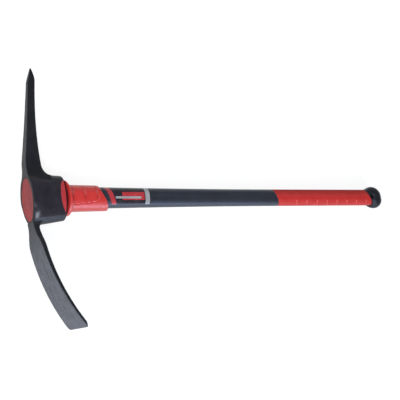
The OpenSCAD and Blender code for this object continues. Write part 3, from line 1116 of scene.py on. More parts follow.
@dataclass(frozen=True)
class ForgedHead:
    """The one-piece forging: lug, pick and blade, blended as a forging is. Sizes in mm."""

    eye: EyeOval = EyeOval()
    pick: Pick = Pick()
    adze: Adze = Adze()
    voxel: float = 0.8
    keep_share: float = 0.3
    light_rounds: int = 2
    light_share: float = 0.6
    light_edge: float = 6.0
    blend_rounds: int = 10
    blend_from: float = 26.0
    blend_in: float = 10.0
    blend_to: float = 78.0
    blend_out: float = 14.0
    blend_under: float = 1.5
    blend_below: float = 7.0
    uneven: float = 0.22
    uneven_pitch: float = 19.0
    uneven_edge: float = 12.0
    crown_round: float = 1.5
    shoulder: float = 3.4
    shoulder_len: float = 20.0
    # Where the shoulder starts, grows, ends and fades are cosines of the turn round the lug
    shoulder_from: float = 0.05
    shoulder_in: float = 0.35
    shoulder_to: float = 0.98
    shoulder_out: float = 0.1
    crown_steps: int = 5
    wall_steps: int = 48
    rim_steps: int = 8
    cut_past: float = 10.0
    cut_steps: int = 12
    crease: float = 55.0

    def lug_rows(self) -> list[np.ndarray]:
        """Gives the sections of the lug, from inside the crown to the rounded rear rim.

        Returns:
            Rows of points.
        """
        eye = self.eye
        in_eye = eye.end_wall + eye.bond
        rows = [eye.lug(eye.depth / 2, 2 * in_eye), eye.on_crown(eye.lug(0, in_eye))]
        turn = eye.turns()
        bite = self.shoulder * ease((-np.cos(turn) - self.shoulder_from) / self.shoulder_in)
        bite = bite * ease((self.shoulder_to + np.cos(turn)) / self.shoulder_out)
        sideways = np.stack([np.zeros(turn.shape), np.zeros(turn.shape), -np.sign(np.sin(turn)) * bite], -1)
        for back, under in reversed(lip(self.crown_round, self.crown_steps)):
            rows.append(eye.on_crown(eye.lug(0, under), back) + sideways)
        rim_at = eye.depth - eye.rim_round
        first = eye.on_crown(eye.lug(0), self.crown_round)
        last = eye.lug(rim_at)
        for share in np.linspace(0, 1, self.wall_steps)[1:]:
            row = mix(first, last, share)
            rows.append(row + sideways * max(0.0, 1 - share * (rim_at / self.shoulder_len)) ** 2)
        for angle in np.linspace(0, np.pi / 2, self.rim_steps)[1:]:
            past = eye.rim_round * math.sin(angle)
            rows.append(eye.lug(rim_at + past, eye.rim_round * (1 - math.cos(angle))))
        return rows

    def blank(self, shop: Workshop) -> Object:
        """Joins the three forms into one skin.

        Args:
            shop: The workshop.

        Returns:
            The unsmoothed forging without its eye.
        """
        points: list[np.ndarray] = []
        faces: Faces = []
        for rows in (self.lug_rows(), self.pick.rows(self.eye), self.adze.rows(self.eye)):
            base = sum(len(part) for part in points)
            part_faces = tube_faces(len(rows), len(rows[0]), False, True)
            faces += [tuple(base + k for k in face) for face in part_faces]
            points.append(np.concatenate(rows))
        blank = shop.solid("head", np.concatenate(points), faces)
        skin = blank.modifiers.new("skin", "REMESH")
        skin.mode = "VOXEL"
        skin.voxel_size = self.voxel * MM
        mesh = shop.shaped(blank)
        shop.discard(blank)
        return shop.hold("head", mesh, self.crease)

    def blend_weights(self, points: np.ndarray) -> np.ndarray:
        """Says where the pick runs into the lug, away from the crown and its arrises.

        Args:
            points: Points in mm about the handle's axis.

        Returns:
            A weight from 0 to 1 for each point.
        """
        x, y = points[:, 0], points[:, 1]
        on_pick = ease((y - self.blend_from) / self.blend_in) * ease((self.blend_to - y) / self.blend_out)
        below = x - self.eye.fall(y)
        return on_pick * ease((below - self.blend_under) / self.blend_below)

    def work(self, shop: Workshop, piece: Object) -> None:
        """Blends the pick into the lug and gives the skin its slight unevenness.

        Args:
            shop: The workshop.
            piece: The forging to work on.
        """
        mesh = piece.data
        flat = np.empty(len(mesh.vertices) * 3)
        mesh.vertices.foreach_get("co", flat)
        pairs = np.empty(len(mesh.edges) * 2, np.int32)
        mesh.edges.foreach_get("vertices", pairs)
        datum = shop.datum
        points = datum.own(flat.reshape(-1, 3))
        ends = pairs.reshape(-1, 2)
        blend = self.blend_weights(points)
        edge_gap = np.minimum(self.pick.reach - points[:, 1], self.adze.reach + points[:, 1])
        light = ease(edge_gap / self.light_edge) * self.light_share
        relax(points, ends, light, self.light_rounds)
        relax(points, ends, blend, self.blend_rounds)
        normals = np.empty(len(mesh.vertices) * 3)
        mesh.vertices.foreach_get("normal", normals)
        dents = np.array([noise.noise(Vector(p) / self.uneven_pitch) for p in points])
        inward = self.uneven * (0.5 + 0.5 * np.clip(dents, -1, 1)) * ease(edge_gap / self.uneven_edge)
        points -= normals.reshape(-1, 3) * inward[:, None]
        mesh.vertices.foreach_set("co", datum.place(points).ravel())
        mesh.update()

    def build(self, shop: Workshop, material: Material) -> Object:
        """Forges the head and dresses it.

        Args:
            shop: The workshop.
            material: The head's material.

        Returns:
            The finished head.
        """
        piece = self.blank(shop)
        self.work(shop, piece)
        fewer = piece.modifiers.new("fewer", "DECIMATE")
        fewer.ratio = self.keep_share
        depths = np.linspace(-self.cut_past, self.eye.depth + self.cut_past, self.cut_steps)
        cutter = shop.loft("eye_cutter", [self.eye.eye(x) for x in depths], capped=True)
        head = shop.cut(piece, cutter, self.crease)
        shop.finish(head, material, Slot.STEEL, "head")
        return head


def relax(points: np.ndarray, ends: np.ndarray, weights: np.ndarray, rounds: int) -> None:
    """Draws points towards their neighbours' middle.

    Args:
        points: Points, moved in place.
        ends: The two point numbers of each edge.
        weights: How far each point may go, from 0 to 1.
        rounds: How often.
    """
    here, there = ends[:, 0], ends[:, 1]
    count = len(points)
    near = np.bincount(here, minlength=count) + np.bincount(there, minlength=count)
    for _ in range(rounds):
        for axis in range(3):
            values = points[:, axis].copy()
            total = np.bincount(here, values[there], count) + np.bincount(there, values[here], count)
            points[:, axis] += 0.5 * weights * (total / near - values)


@dataclass(frozen=True)
class EndArc:
    """The arc that an end of a sleeve is cut along, with the bulge on its sides. Sizes in mm."""

    radius: float
    middle: float
    bulge: float
    bulge_y: float


@dataclass(frozen=True)
class HandleProfile:
    """The handle's section and outline, in mm about its axis."""

    side_flat: float = 8.0
    shaft_h: float = 46.0
    grip_h: float = 36.8
    start: float = 79.6
    grip_front: float = 596.0
    grip_rear: float = 867.0
    grip_wall: float = 2.6
    core_h: float = 25.0
    core_end: float = 861.75
    cap_start: float = 835.0
    gap: float = 0.1
    end_arc: EndArc = EndArc(65.0, 21.0, 2.9, -4.0)
    knob_slant: float = 0.135
    slant_from: float = 858.0
    slant_len: float = 10.0
    round_steps: int = 56
    flat_steps: int = 10

    @property
    def flat_half(self) -> float:
        """Half of the flat on each side."""
        return self.side_flat / 2

    @property
    def recess(self) -> float:
        """Half height of the jacket and the cap under the grip."""
        return self.grip_h / 2 - self.grip_wall

    @property
    def bore(self) -> float:
        """Half height of the hole for the core."""
        return self.core_h / 2 + self.gap

    def shaft_half(self, x: Any) -> Any:
        """Half height of the handle at x."""
        share = np.maximum(0.0, self.grip_front - x) / (self.grip_front - self.start)
        return self.grip_h / 2 + (self.shaft_h - self.grip_h) / 2 * share ** 2

    @cached_property
    def spokes(self) -> tuple[np.ndarray, np.ndarray, np.ndarray]:
        """The way out from the handle's flat sides for each point of a section.

        Returns:
            The offsets in y that the ways start from, and their parts in y and z.
        """
        turn = np.linspace(-np.pi / 2, np.pi / 2, self.round_steps + 1)
        flat = np.linspace(1, -1, self.flat_steps + 1)[1:-1] * self.flat_half
        full = np.full(turn.shape, self.flat_half)
        ones, none = np.ones(flat.shape), np.zeros(flat.shape)
        offset = np.concatenate([full, flat, -full, -flat])
        out_y = np.concatenate([np.cos(turn), none, -np.cos(turn), none])
        out_z = np.concatenate([np.sin(turn), ones, -np.sin(turn), -ones])
        return offset, out_y, out_z

    def row(self, x: Any, half: Any) -> np.ndarray:
        """Gives one section of the handle.

        Args:
            x: Place along the axis, for all points or for each.
            half: Half height there, for all points or for each.

        Returns:
            The section's points.
        """
        offset, out_y, out_z = self.spokes
        round_r = np.maximum(0.0, np.broadcast_to(half, offset.shape) - self.flat_half)
        along = np.broadcast_to(np.asarray(x, float), offset.shape)
        return np.stack([along, offset + round_r * out_y, round_r * out_z], -1)

    def shaft_row(self, x: Any, over: float = 0.0) -> np.ndarray:
        """Gives a section of the handle at x, or one that lies over it."""
        return self.row(x, self.shaft_half(x) + over)

    def heights(self, half: Any) -> np.ndarray:
        """Y of each point of a section with that half height."""
        return self.row(0.0, half)[:, 1]

    def curved_end(self, x: float, half: float, arc: EndArc) -> np.ndarray:
        """Gives the place of an end that is cut along an arc.

        Args:
            x: Foremost place of the arc.
            half: Half height of the handle there.
            arc: The arc.

        Returns:
            Place along the axis for each point of a section.
        """
        heights = self.heights(half)
        away = np.clip((heights - arc.bulge_y) / np.abs(heights).max(), -1, 1)
        swell = arc.bulge * np.cos(np.pi / 2 * away) ** 2
        return x + arc.radius - np.sqrt(arc.radius ** 2 - (heights - arc.middle) ** 2) + swell

    def slanted(self, row: np.ndarray) -> np.ndarray:
        """Slants those points of a section that lie at the knob."""
        share = ease((row[:, 0] - self.slant_from) / self.slant_len)
        return row - np.outer(self.knob_slant * share * row[:, 1], [1.0, 0.0, 0.0])

    def grip_end(self, x: float, half: Any) -> np.ndarray:
        """Place of the grip's curved front or rear end."""
        return self.curved_end(x, half, self.end_arc)


def lip(radius: float, steps: int = 4) -> list[tuple[float, float]]:
    """Gives a quarter round as pairs of distance from the end and depth under the surface."""
    return [(radius * (1 - math.sin(t)), radius * (1 - math.cos(t)))
            for t in np.linspace(0, np.pi / 2, steps + 1)]


@dataclass(frozen=True)
class ShaftJacket:
    """The dark moulded jacket over the core, recessed under the grip. Sizes in mm."""

    profile: HandleProfile
    seam_round: float = 0.5
    steps: int = 60

    def build(self, shop: Workshop, material: Material) -> None:
        """Builds the jacket and dresses it.

        Args:
            shop: The workshop.
            material: The jacket's material.
        """
        form = self.profile
        half = form.grip_h / 2
        end = form.grip_end(form.grip_front - form.gap, half)
        rows = [form.shaft_row(mix(form.start, end - self.seam_round, share))
                for share in np.linspace(0, 1, self.steps)]
        rows += [form.row(end - back, half - under) for back, under in lip(self.seam_round)[1:]]
        step = form.grip_end(form.grip_front - form.gap, form.recess)
        rows += [form.row(step, form.recess), form.row(form.cap_start, form.recess),
                 form.row(form.cap_start, form.bore), form.row(form.start, form.bore)]
        piece = shop.loft("shaft_jacket_skin", rows, wrap=True)
        shop.finish(piece, material, Slot.JACKET, "shaft_jacket")


@dataclass(frozen=True)
class Grip:
    """The soft red grip with its curved ends, side line and notches. Sizes in mm."""

    profile: HandleProfile
    notch_count: int = 8
    notch_lead: float = 62.0
    notch_tail: float = 4.0
    notch_w: float = 2.4
    notch_depth: float = 1.0
    notch_turn: float = 42.0
    notch_edge: float = 0.5
    notch_span: tuple[float, float] = (-9.0, -16.0)
    notch_slant: float = 0.5
    lean_reach: float = 5.0
    seam_round: float = 0.6
    line_y: float = -0.4
    # Height of the line above which the grip's finish paints shade
    tone_y: float = 2.0
    line_half: float = 0.9
    line_depth: float = 0.4
    chord_limit: float = 60.0
    front_rows_end: float = 640.0
    rear_rows_start: float = 864.9
    row_pitch: float = 5.0
    row_gap: float = 0.4
    front_steps: int = 9
    rear_steps: int = 5

    def notches(self) -> np.ndarray:
        """Places of the notches along the axis."""
        ends = self.profile.grip_front + self.notch_lead, self.profile.grip_rear - self.notch_tail
        return np.linspace(*ends, self.notch_count)

    def marks(self, datum: Datum) -> LineMarks:
        """Gives the notches where the grip's finish paints highlights.

        Args:
            datum: Where the tool lies in the frame.

        Returns:
            The lines.
        """
        notches = self.notches()
        (first, top, _), (last, low, _) = datum.place([[notches[0], self.notch_span[0], 0.0],
                                                       [notches[-1], self.notch_span[1], 0.0]]).tolist()
        middle = self.notch_slant * (top + low) / 2
        pitch = (last - first) / (self.notch_count - 1)
        half = self.notch_w / 2 * MM
        return LineMarks(first + middle, last + middle, pitch, half, top, low, self.notch_slant)

    def dressed(self, rubber: SoftRubber, datum: Datum) -> SoftRubber:
        """Fits a finish to the grip's side line, above which it paints shade, and to its notches, where it
        paints highlights.
        """
        line_y = float(datum.place([0, self.tone_y, 0])[1])
        return replace(rubber, line_y=line_y, marks=self.marks(datum))

    def lean(self) -> np.ndarray:
        """Gives the shift along the axis that lays the notches on the slant.

        Returns:
            The shift at each point of a section.
        """
        form = self.profile
        below = sum(self.notch_span) / 2 - form.heights(form.grip_h / 2)
        return self.notch_slant * np.clip(below, -self.lean_reach, self.lean_reach)

    def cut_depth(self, x: np.ndarray) -> np.ndarray:
        """Depth of the notches and the side line under the surface.

        Args:
            x: Place of each point along the axis.

        Returns:
            The depth at each point of a section.
        """
        form = self.profile
        offset, out_y, out_z = form.spokes
        round_r = form.grip_h / 2 - form.flat_half
        floor = round_r - self.notch_depth
        away = np.abs(np.degrees(np.arctan2(-out_y, np.abs(out_z))) - self.notch_turn)
        chord = np.maximum(0.0, round_r - floor / np.cos(np.radians(np.minimum(away, self.chord_limit))))
        gap = np.abs(x[:, None] - self.notches()[None, :]).min(1)
        inside = ease((self.notch_w / 2 + self.notch_edge / 2 - gap) / self.notch_edge)
        line = 1 - ease(np.abs(form.heights(form.grip_h / 2) - self.line_y) / self.line_half)
        return np.where(offset <= -form.flat_half, chord, 0.0) * inside + self.line_depth * line

    def build(self, shop: Workshop, material: Material) -> None:
        """Builds the grip and dresses it.

        Args:
            shop: The workshop.
            material: The grip's material.
        """
        form = self.profile
        half = form.grip_h / 2
        front = form.grip_end(form.grip_front, half)
        rear = form.grip_end(form.grip_rear, half)
        lean = self.lean()
        places = set(np.arange(self.front_rows_end, self.rear_rows_start, self.row_pitch))
        reach = self.notch_w / 2 + self.notch_edge / 2
        floor = reach - self.notch_edge
        for notch in self.notches():
            places = {x for x in places if abs(x - notch) > reach + self.row_gap}
            places |= set(notch + np.array([-reach, -floor, 0, floor, reach]))
        rows = [form.row(front + back, half - under) for back, under in reversed(lip(self.seam_round))]
        for share in np.linspace(0, 1, self.front_steps)[1:-1]:
            x = mix(front + self.seam_round, self.front_rows_end, share)
            rows.append(form.row(x + lean * share, half - self.cut_depth(x)))
        for place in sorted(places):
            x = np.full(front.shape, place)
            rows.append(form.row(x + lean, half - self.cut_depth(x)))
        for share in np.linspace(0, 1, self.rear_steps)[1:-1]:
            x = mix(self.rear_rows_start, rear - self.seam_round, share)
            rows.append(form.row(x + lean * (1 - share), half - self.cut_depth(x)))
        rows += [form.row(rear - back, half - under) for back, under in lip(self.seam_round)]
        inner = form.recess + form.gap
        rows += [form.row(form.grip_end(form.grip_rear, inner), inner),
                 form.row(form.grip_end(form.grip_front, inner), inner)]
        piece = shop.loft("grip_skin", [form.slanted(row) for row in rows], wrap=True)
        shop.finish(piece, material, Slot.GRIP, "grip")


@dataclass(frozen=True)
class EndCap:
    """The black end cap: socket, flared knob, round end and hang hole. Sizes in mm."""

    profile: HandleProfile
    knob_h: float = 50.5
    rim: float = 892.0
    dome: float = 21.2
    hang_x: float = 878.0
    hang_d: float = 8.5
    hang_edge: float = 0.8
    hang_bend: float = 0.3
    hang_sides: int = 48
    seam_round: float = 0.5
    past: float = 12.0
    steps: int = 16

    def half(self, x: Any) -> Any:
        """Half height of the flare at x."""
        share = ease((x - self.profile.grip_rear) / (self.rim - self.profile.grip_rear))
        return mix(self.profile.grip_h / 2, self.knob_h / 2, share)

    def build(self, shop: Workshop, material: Material) -> None:
        """Builds the cap, drills it and dresses it.

        Args:
            shop: The workshop.
            material: The cap's material.
        """
        form = self.profile
        stop = form.core_end + form.gap
        front = form.cap_start + form.gap
        socket = [form.row(stop, form.flat_half), form.row(stop, form.bore), form.row(front, form.bore),
                  form.row(front, form.recess)]
        seam = form.grip_end(form.grip_rear + form.gap, form.recess)
        rows = [form.row(seam, form.recess)]
        edge = form.grip_end(form.grip_rear + form.gap, form.grip_h / 2)
        for back, under in reversed(lip(self.seam_round)):
            rows.append(form.row(edge + back, self.half(edge + back) - under))
        for share in np.linspace(0, 1, self.steps)[1:]:
            x = mix(edge + self.seam_round, self.rim, share)
            rows.append(form.row(x, self.half(x)))
        for turn in np.linspace(0, np.pi / 2, self.steps)[1:]:
            swell = (self.knob_h / 2 - form.flat_half) * max(0.0, math.cos(turn))
            rows.append(form.row(self.rim + self.dome * math.sin(turn), form.flat_half + swell))
        piece = shop.loft("end_cap_knob", socket + [form.slanted(row) for row in rows])
        drilled = shop.cut(piece, self.drill(shop))
        shop.finish(drilled, material, Slot.CAP, "end_cap")

    def drill(self, shop: Workshop) -> Object:
        """Makes the tool that cuts the hang hole with its eased edges.

        Args:
            shop: The workshop.

        Returns:
            The cutting object.
        """
        face = float(self.half(self.hang_x)) - self.profile.flat_half
        radius = self.hang_d / 2
        bend = self.hang_bend * self.hang_edge
        outline = [(face + self.past, radius + self.hang_edge + self.past), (face, radius + self.hang_edge),
                   (face - bend, radius + bend), (face - self.hang_edge, radius)]
        both = [(-z, r) for z, r in outline] + [(z, r) for z, r in reversed(outline)]
        turn = np.linspace(0, 2 * np.pi, self.hang_sides, endpoint=False)
        rows = [np.stack([self.hang_x + r * np.cos(turn), r * np.sin(turn), np.full(turn.shape, z)], -1)
                for z, r in both]
        return shop.loft("hang_drill", rows, capped=True)


@dataclass(frozen=True)
class Guard:
    """The red overstrike guard: flange, sleeve, ring grooves and side panel. Sizes in mm."""

    profile: HandleProfile
    wall: float = 3.3
    sag: float = 1.0
    flange_rise: float = 9.0
    flange_len: float = 5.5
    flange_lean: float = 5.0
    flange_edge: float = 2.2
    hollow: float = 3.5
    end: float = 155.0
    end_arc: EndArc = EndArc(80.0, 26.0, 4.6, -9.0)
    ring_lead: float = 6.5
    ring_pitch: float = 27.0
    ring_count: int = 3
    groove_w: float = 2.4
    groove_edge: float = 0.3
    groove_depth: float = 0.9
    # A fade is the height where it starts and the height that it takes
    groove_fade: tuple[float, float] = (-6.0, 12.0)
    panel_corner: tuple[float, float] = (148.7, -10.5)
    panel_front: tuple[float, float] = (90.3, -16.0)
    panel_turn_at: tuple[float, float] = (137.7, -11.4)
    panel_top: tuple[float, float] = (150.2, 6.0)
    panel_bend: float = 0.45
    panel_steps: int = 13
    panel_lip: float = 0.7
    panel_lip_at: float = -1.1
    panel_lip_half: float = 1.2
    panel_groove: float = 1.0
    panel_groove_at: float = 0.9
    panel_groove_half: float = 1.5
    panel_near: float = 6.0
    panel_lead: float = 2.0
    panel_fade: tuple[float, float] = (-8.0, 12.0)
    panel_faint: float = 0.45
    panel_past: float = 2.0
    panel_close: float = 6.0
    # Where the painted shade on the flange's front face stops short of its rim, and how softly it fades
    front_rim: float = 11.0
    front_fade: float = 1.5
    # How low the grooves' painted shade reaches, and its width
    ring_low: float = -4.0
    ring_shade: float = 3.6
    seam_round: float = 0.9
    rows_end: float = 150.0
    row_pitch: float = 0.9
    flange_steps: int = 8
    edge_steps: int = 6
    end_steps: int = 22

    def half(self, x: Any) -> Any:
        """Half height of the sleeve at x."""
        return self.profile.shaft_half(x) + self.profile.gap + self.wall + self.sag

    def outside(self, x: Any, half: Any) -> np.ndarray:
        """Gives a section of the outside, which lies off the handle's axis."""
        return self.profile.row(x, half) - [0, self.sag, 0]

    def marks(self, datum: Datum) -> LineMarks:
        """Gives the ring grooves that the guard's finish fills with painted shade.

        Args:
            datum: Where the tool lies in the frame.

        Returns:
            The lines.
        """
        at = self.profile.start + self.flange_len + self.ring_lead
        past = at + self.ring_pitch * (self.ring_count - 1)
        top = float(self.half(at))
        (first, high, _), (last, low, _) = datum.place([[at, top, 0.0], [past, self.ring_low, 0.0]]).tolist()
        return LineMarks(first, last, self.ring_pitch * MM, self.ring_shade / 2 * MM, high, low)

    def dressed(self, plastic: GuardPlastic, datum: Datum) -> GuardPlastic:
        """Fits the finish's painted shade to the guard's grooves and front face.

        Args:
            plastic: The finish.
            datum: Where the tool lies in the frame.

        Returns:
            The fitted finish.
        """
        reach = float(self.half(self.profile.start)) + self.flange_rise - self.front_rim
        center = tuple(datum.place([self.profile.start, -self.sag, 0.0]).tolist())
        ends = ((reach + self.front_fade) * MM, reach * MM)
        return replace(plastic, marks=self.marks(datum), front_shade_center=center, front_shade_radius=ends)

    def flange_row(self, along: float, half: float) -> np.ndarray:
        """Gives a section of the leaning flange, held at its flat front face.

        Args:
            along: Place along the flange's own axis, from the guard's front.
            half: Half height there.

        Returns:
            The section's points.
        """
        lean = math.radians(self.flange_lean)
        flat = self.profile.row(along, half)
        x = self.profile.start + flat[:, 0] * math.cos(lean) - flat[:, 1] * math.sin(lean)
        y = flat[:, 0] * math.sin(lean) + flat[:, 1] * math.cos(lean) - self.sag
        return np.stack([np.maximum(x, self.profile.start), y, flat[:, 2]], -1)

    def panel_path(self) -> np.ndarray:
        """Gives the line round the lower and rear edge of the side panel.

        Returns:
            The line's points as x and y.
        """
        turn, corner, top = (np.array(p) for p in (self.panel_turn_at, self.panel_corner, self.panel_top))
        share = np.linspace(0, 1, self.panel_steps)[:, None]
        bend_end = mix(corner, top, self.panel_bend)
        bend = mix(mix(turn, corner, share), mix(corner, bend_end, share), share)
        return np.concatenate([[self.panel_front], bend, [top]])

    def relief(self, x: np.ndarray) -> np.ndarray:
        """Depth of the grooves under the sleeve, less than zero on a raised lip.

        Args:
            x: Place of each point along the axis.

        Returns:
            The depth at each point of a section.
        """
        y = self.profile.heights(self.half(x)) - self.sag
        first = self.profile.start + self.flange_len + self.ring_lead
        rings = first + self.ring_pitch * np.arange(self.ring_count)
        gap = np.abs(x[:, None] - rings[None, :]).min(1)
        ring = 1 - ease(gap / (self.groove_w / 2 + self.groove_edge))
        ring = ring * ease((y - self.groove_fade[0]) / self.groove_fade[1])
        near, side = path_gap(np.stack([x, y], -1), self.panel_path())
        low = 1 - ease(np.abs(side - self.panel_groove_at) / self.panel_groove_half)
        high = 1 - ease(np.abs(side - self.panel_lip_at) / self.panel_lip_half)
        on_path = ease((x - self.panel_front[0]) / self.panel_lead) * (near < self.panel_near)
        fade = mix(1.0, self.panel_faint, ease((y - self.panel_fade[0]) / self.panel_fade[1]))
        fade = fade * ease((self.panel_top[1] + self.panel_past - y) / self.panel_close)
        return self.groove_depth * ring + on_path * fade * (self.panel_groove * low - self.panel_lip * high)

    def build(self, shop: Workshop, material: Material) -> None:
        """Builds the guard and dresses it.

        Args:
            shop: The workshop.
            material: The guard's material.
        """
        form = self.profile
        start, length = form.start, self.flange_len
        sleeve_at = start + length + self.hollow
        top = float(self.half(start)) + self.flange_rise
        rows = [form.shaft_row(start, form.gap), self.outside(start, top - self.flange_edge)]
        rim = np.linspace(-length, length - self.flange_edge, self.flange_steps)
        rows += [self.flange_row(along, top) for along in rim]
        rows += [self.flange_row(length - back, top - under)
                 for back, under in lip(self.flange_edge, self.edge_steps)[1:]]
        foot = float(self.half(sleeve_at))
        for turn in np.linspace(0, np.pi / 2, self.flange_steps):
            rise, run = self.hollow * (1 - math.sin(turn)), self.hollow * (1 - math.cos(turn))
            rows.append(self.flange_row(length + run, foot + rise))
        front = rows[-1][:, 0]
        count = round((self.rows_end - sleeve_at) / self.row_pitch)
        for share in np.linspace(0, 1, count)[1:]:
            x = mix(front, self.rows_end, share)
            rows.append(self.outside(x, self.half(x) - self.relief(x)))
        end = form.curved_end(self.end, float(self.half(self.end)), self.end_arc)
        for share in np.linspace(0, 1, self.end_steps)[1:]:
            x = mix(self.rows_end, end - self.seam_round, share)
            rows.append(self.outside(x, self.half(x) - self.relief(x)))
        rows += [self.outside(end - back, self.half(end) - under)
                 for back, under in lip(self.seam_round)[1:]]
        rows += [form.shaft_row(mix(end, start, share), form.gap)
                 for share in np.linspace(0, 1, self.flange_steps)[:-1]]
        piece = shop.loft("guard_sleeve", rows, wrap=True)
        shop.finish(piece, material, Slot.GUARD, "guard")


def path_gap(places: np.ndarray, path: np.ndarray) -> tuple[np.ndarray, np.ndarray]:
    """Measures how far places lie from a path.

    Args:
        places: Places as x and y.
        path: The path's points in order.

    Returns:
        The distance of each place, and the same with a sign, more than zero to the right of the path.
    """
    from_here = path[:-1][None, :, :]
    run = (path[1:] - path[:-1])[None, :, :]
    gone = places[:, None, :] - from_here
    share = np.clip((gone * run).sum(-1) / (run * run).sum(-1), 0, 1)
    off = gone - run * share[..., None]
    far = np.hypot(off[..., 0], off[..., 1])
    best = far.argmin(1)
    pick = np.arange(len(places))
    turn = run[0, best, 0] * off[pick, best, 1] - run[0, best, 1] * off[pick, best, 0]
    near = far[pick, best]
    return near, np.where(turn > 0, -near, near)


@dataclass(frozen=True)
class EyeBond:
    """The adhesive between plug and eye, with a bead that runs over the plug's edge. Sizes in mm."""

    eye: EyeOval
    bead: float = 1.5
    rise: float = 0.1
    under: float = 0.6
    bead_steps: int = 7
    wall_steps: int = 8

    def build(self, shop: Workshop, material: Material) -> None:
        """Builds the bond and dresses it.

        Args:
            shop: The workshop.
            material: The bond's material.
        """
        eye = self.eye
        reach = eye.bond + self.bead
        rows = [eye.on_crown(eye.eye(0.0, reach * share), mix(self.rise, self.under, share ** 3))
                for share in np.linspace(0, 1, self.bead_steps)]
        rows.append(eye.on_crown(eye.eye(0.0, eye.bond), 2 * self.under))
        top, low = eye.on_crown(eye.eye(0.0, eye.bond), 3 * self.under), eye.eye(eye.depth, eye.bond)
        down = np.linspace(0, 1, self.wall_steps)
        rows += [mix(top, low, share) for share in down]
        low_out, top_out = eye.eye(eye.depth), eye.on_crown(eye.eye(0.0), 2 * self.rise)
        rows += [mix(low_out, top_out, share) for share in down]
        piece = shop.loft("eye_bond_bead", rows, wrap=True)
        shop.finish(piece, material, Slot.RESIN, "eye_bond")


@dataclass(frozen=True)
class EyePlug:
    """The red plug that fills the eye round the core. Sizes in mm."""

    eye: EyeOval
    profile: HandleProfile
    end: float = 7.0
    edge: float = 0.6
    below: float = 0.5
    sink: float = 0.35
    rings: int = 14
    wall_steps: int = 10

    def build(self, shop: Workshop, material: Material) -> None:
        """Builds the plug and dresses it.

        Args:
            shop: The workshop.
            material: The plug's material.
        """
        eye = self.eye
        middle = eye.eye(0.0, eye.bond).mean(0)
        rows = []
        for share in np.linspace(0, 1, self.rings):
            ring = mix(middle, eye.eye(0.0, eye.bond + self.edge), share)
            rows.append(eye.on_crown(ring, self.below + self.sink * (1 - share ** 4)))
        for back, under in reversed(lip(self.edge)[:-1]):
            rows.append(eye.on_crown(eye.eye(0.0, eye.bond + under), self.below + back))
        wall_top = rows[-1]
        low = eye.eye(eye.depth, eye.bond)
        rows += [mix(wall_top, low, share) for share in np.linspace(0, 1, self.wall_steps)[1:]]
        turn = eye.turns()
        form = self.profile
        round_r = form.bore - form.flat_half
        hole_y = form.flat_half * np.sign(np.round(np.cos(turn), 6)) + round_r * np.cos(turn)
        for x, share in ((eye.depth, 1.0), (self.end, 1.0), (self.end, 0.0)):
            hole = [np.full(turn.shape, x), hole_y * share, round_r * np.sin(turn) * share]
            rows.append(np.stack(hole, -1))
        piece = shop.loft("eye_plug_fill", rows)
        shop.finish(piece, material, Slot.PLUG, "eye_plug")


@dataclass(frozen=True)
class LugFilm:
    """The bare dark film round the near side of the lug, with a red crescent at its rear. Sizes in mm."""

    eye: EyeOval
    front: float = 2.6
    rear: float = 75.2
    pick_turn: float = 43.0
    adze_turn: float = 143.0
    crescent_x: float = 64.2
    crescent_turn: float = 85.0
    crescent_span: float = 48.0
    crescent_least: float = 0.2
    lift: float = 0.14
    sink: float = 0.2
    cast: float = 6.0
    probe: float = 0.5
    columns: int = 64
    rows: int = 36

    def border(self, turn: np.ndarray) -> np.ndarray:
        """Place of the line between the dark film and the red crescent."""
        share = (turn - self.crescent_turn) / self.crescent_span
        return np.minimum(self.rear - self.crescent_least, mix(self.crescent_x, self.rear, share ** 2))

    def wrap(self, shop: Workshop, name: str, tree: BVHTree, first: np.ndarray, last: np.ndarray,
             turn: np.ndarray) -> Object:
        """Lays a film on the lug between two borders.

        Args:
            shop: The workshop.
            name: The film's name.
            tree: The head's surface.
            first: Front border at each turn.
            last: Rear border at each turn.
            turn: Turns round the lug in degrees.

        Returns:
            The film.
        """
        share = np.linspace(0, 1, self.rows)[:, None]
        x = mix(first[None, :], last[None, :], share)
        turns = np.broadcast_to(turn[None, :], x.shape)
        base = self.eye.lug_point(x, turns)
        along = self.eye.lug_point(x + self.probe, turns) - base
        around = self.eye.lug_point(x, turns + self.probe) - base
        out = np.cross(around, along)
        out /= np.linalg.norm(out, axis=-1, keepdims=True)
        out *= np.sign(out[..., 2:3])
        laid = base.copy()
        for index in np.ndindex(x.shape):
            start = Vector(shop.datum.place(base[index] + self.cast * out[index]))
            hit = tree.ray_cast(start, Vector(-out[index]), 2 * self.cast * MM)[0]
            if hit is not None:
                laid[index] = shop.datum.own(hit)
        return shop.sheet(name, laid + self.lift * out, laid - self.sink * out)

    def build(self, shop: Workshop, head: Object, dark: Material, red: Material) -> None:
        """Lays both films on the head.

        Args:
            shop: The workshop.
            head: The finished head.
            dark: Material of the film.
            red: Material of the crescent.
        """
        tree = BVHTree.FromObject(head, bpy.context.evaluated_depsgraph_get())
        turn = np.linspace(self.pick_turn, self.adze_turn, self.columns)
        border = self.border(turn)
        film = self.wrap(shop, "lug_film", tree, np.full(turn.shape, self.front), border, turn)
        shop.finish(film, dark, Slot.CAP)
        crescent = self.wrap(shop, "lug_crescent", tree, border, np.full(turn.shape, self.rear), turn)
        shop.finish(crescent, red, Slot.GUARD)


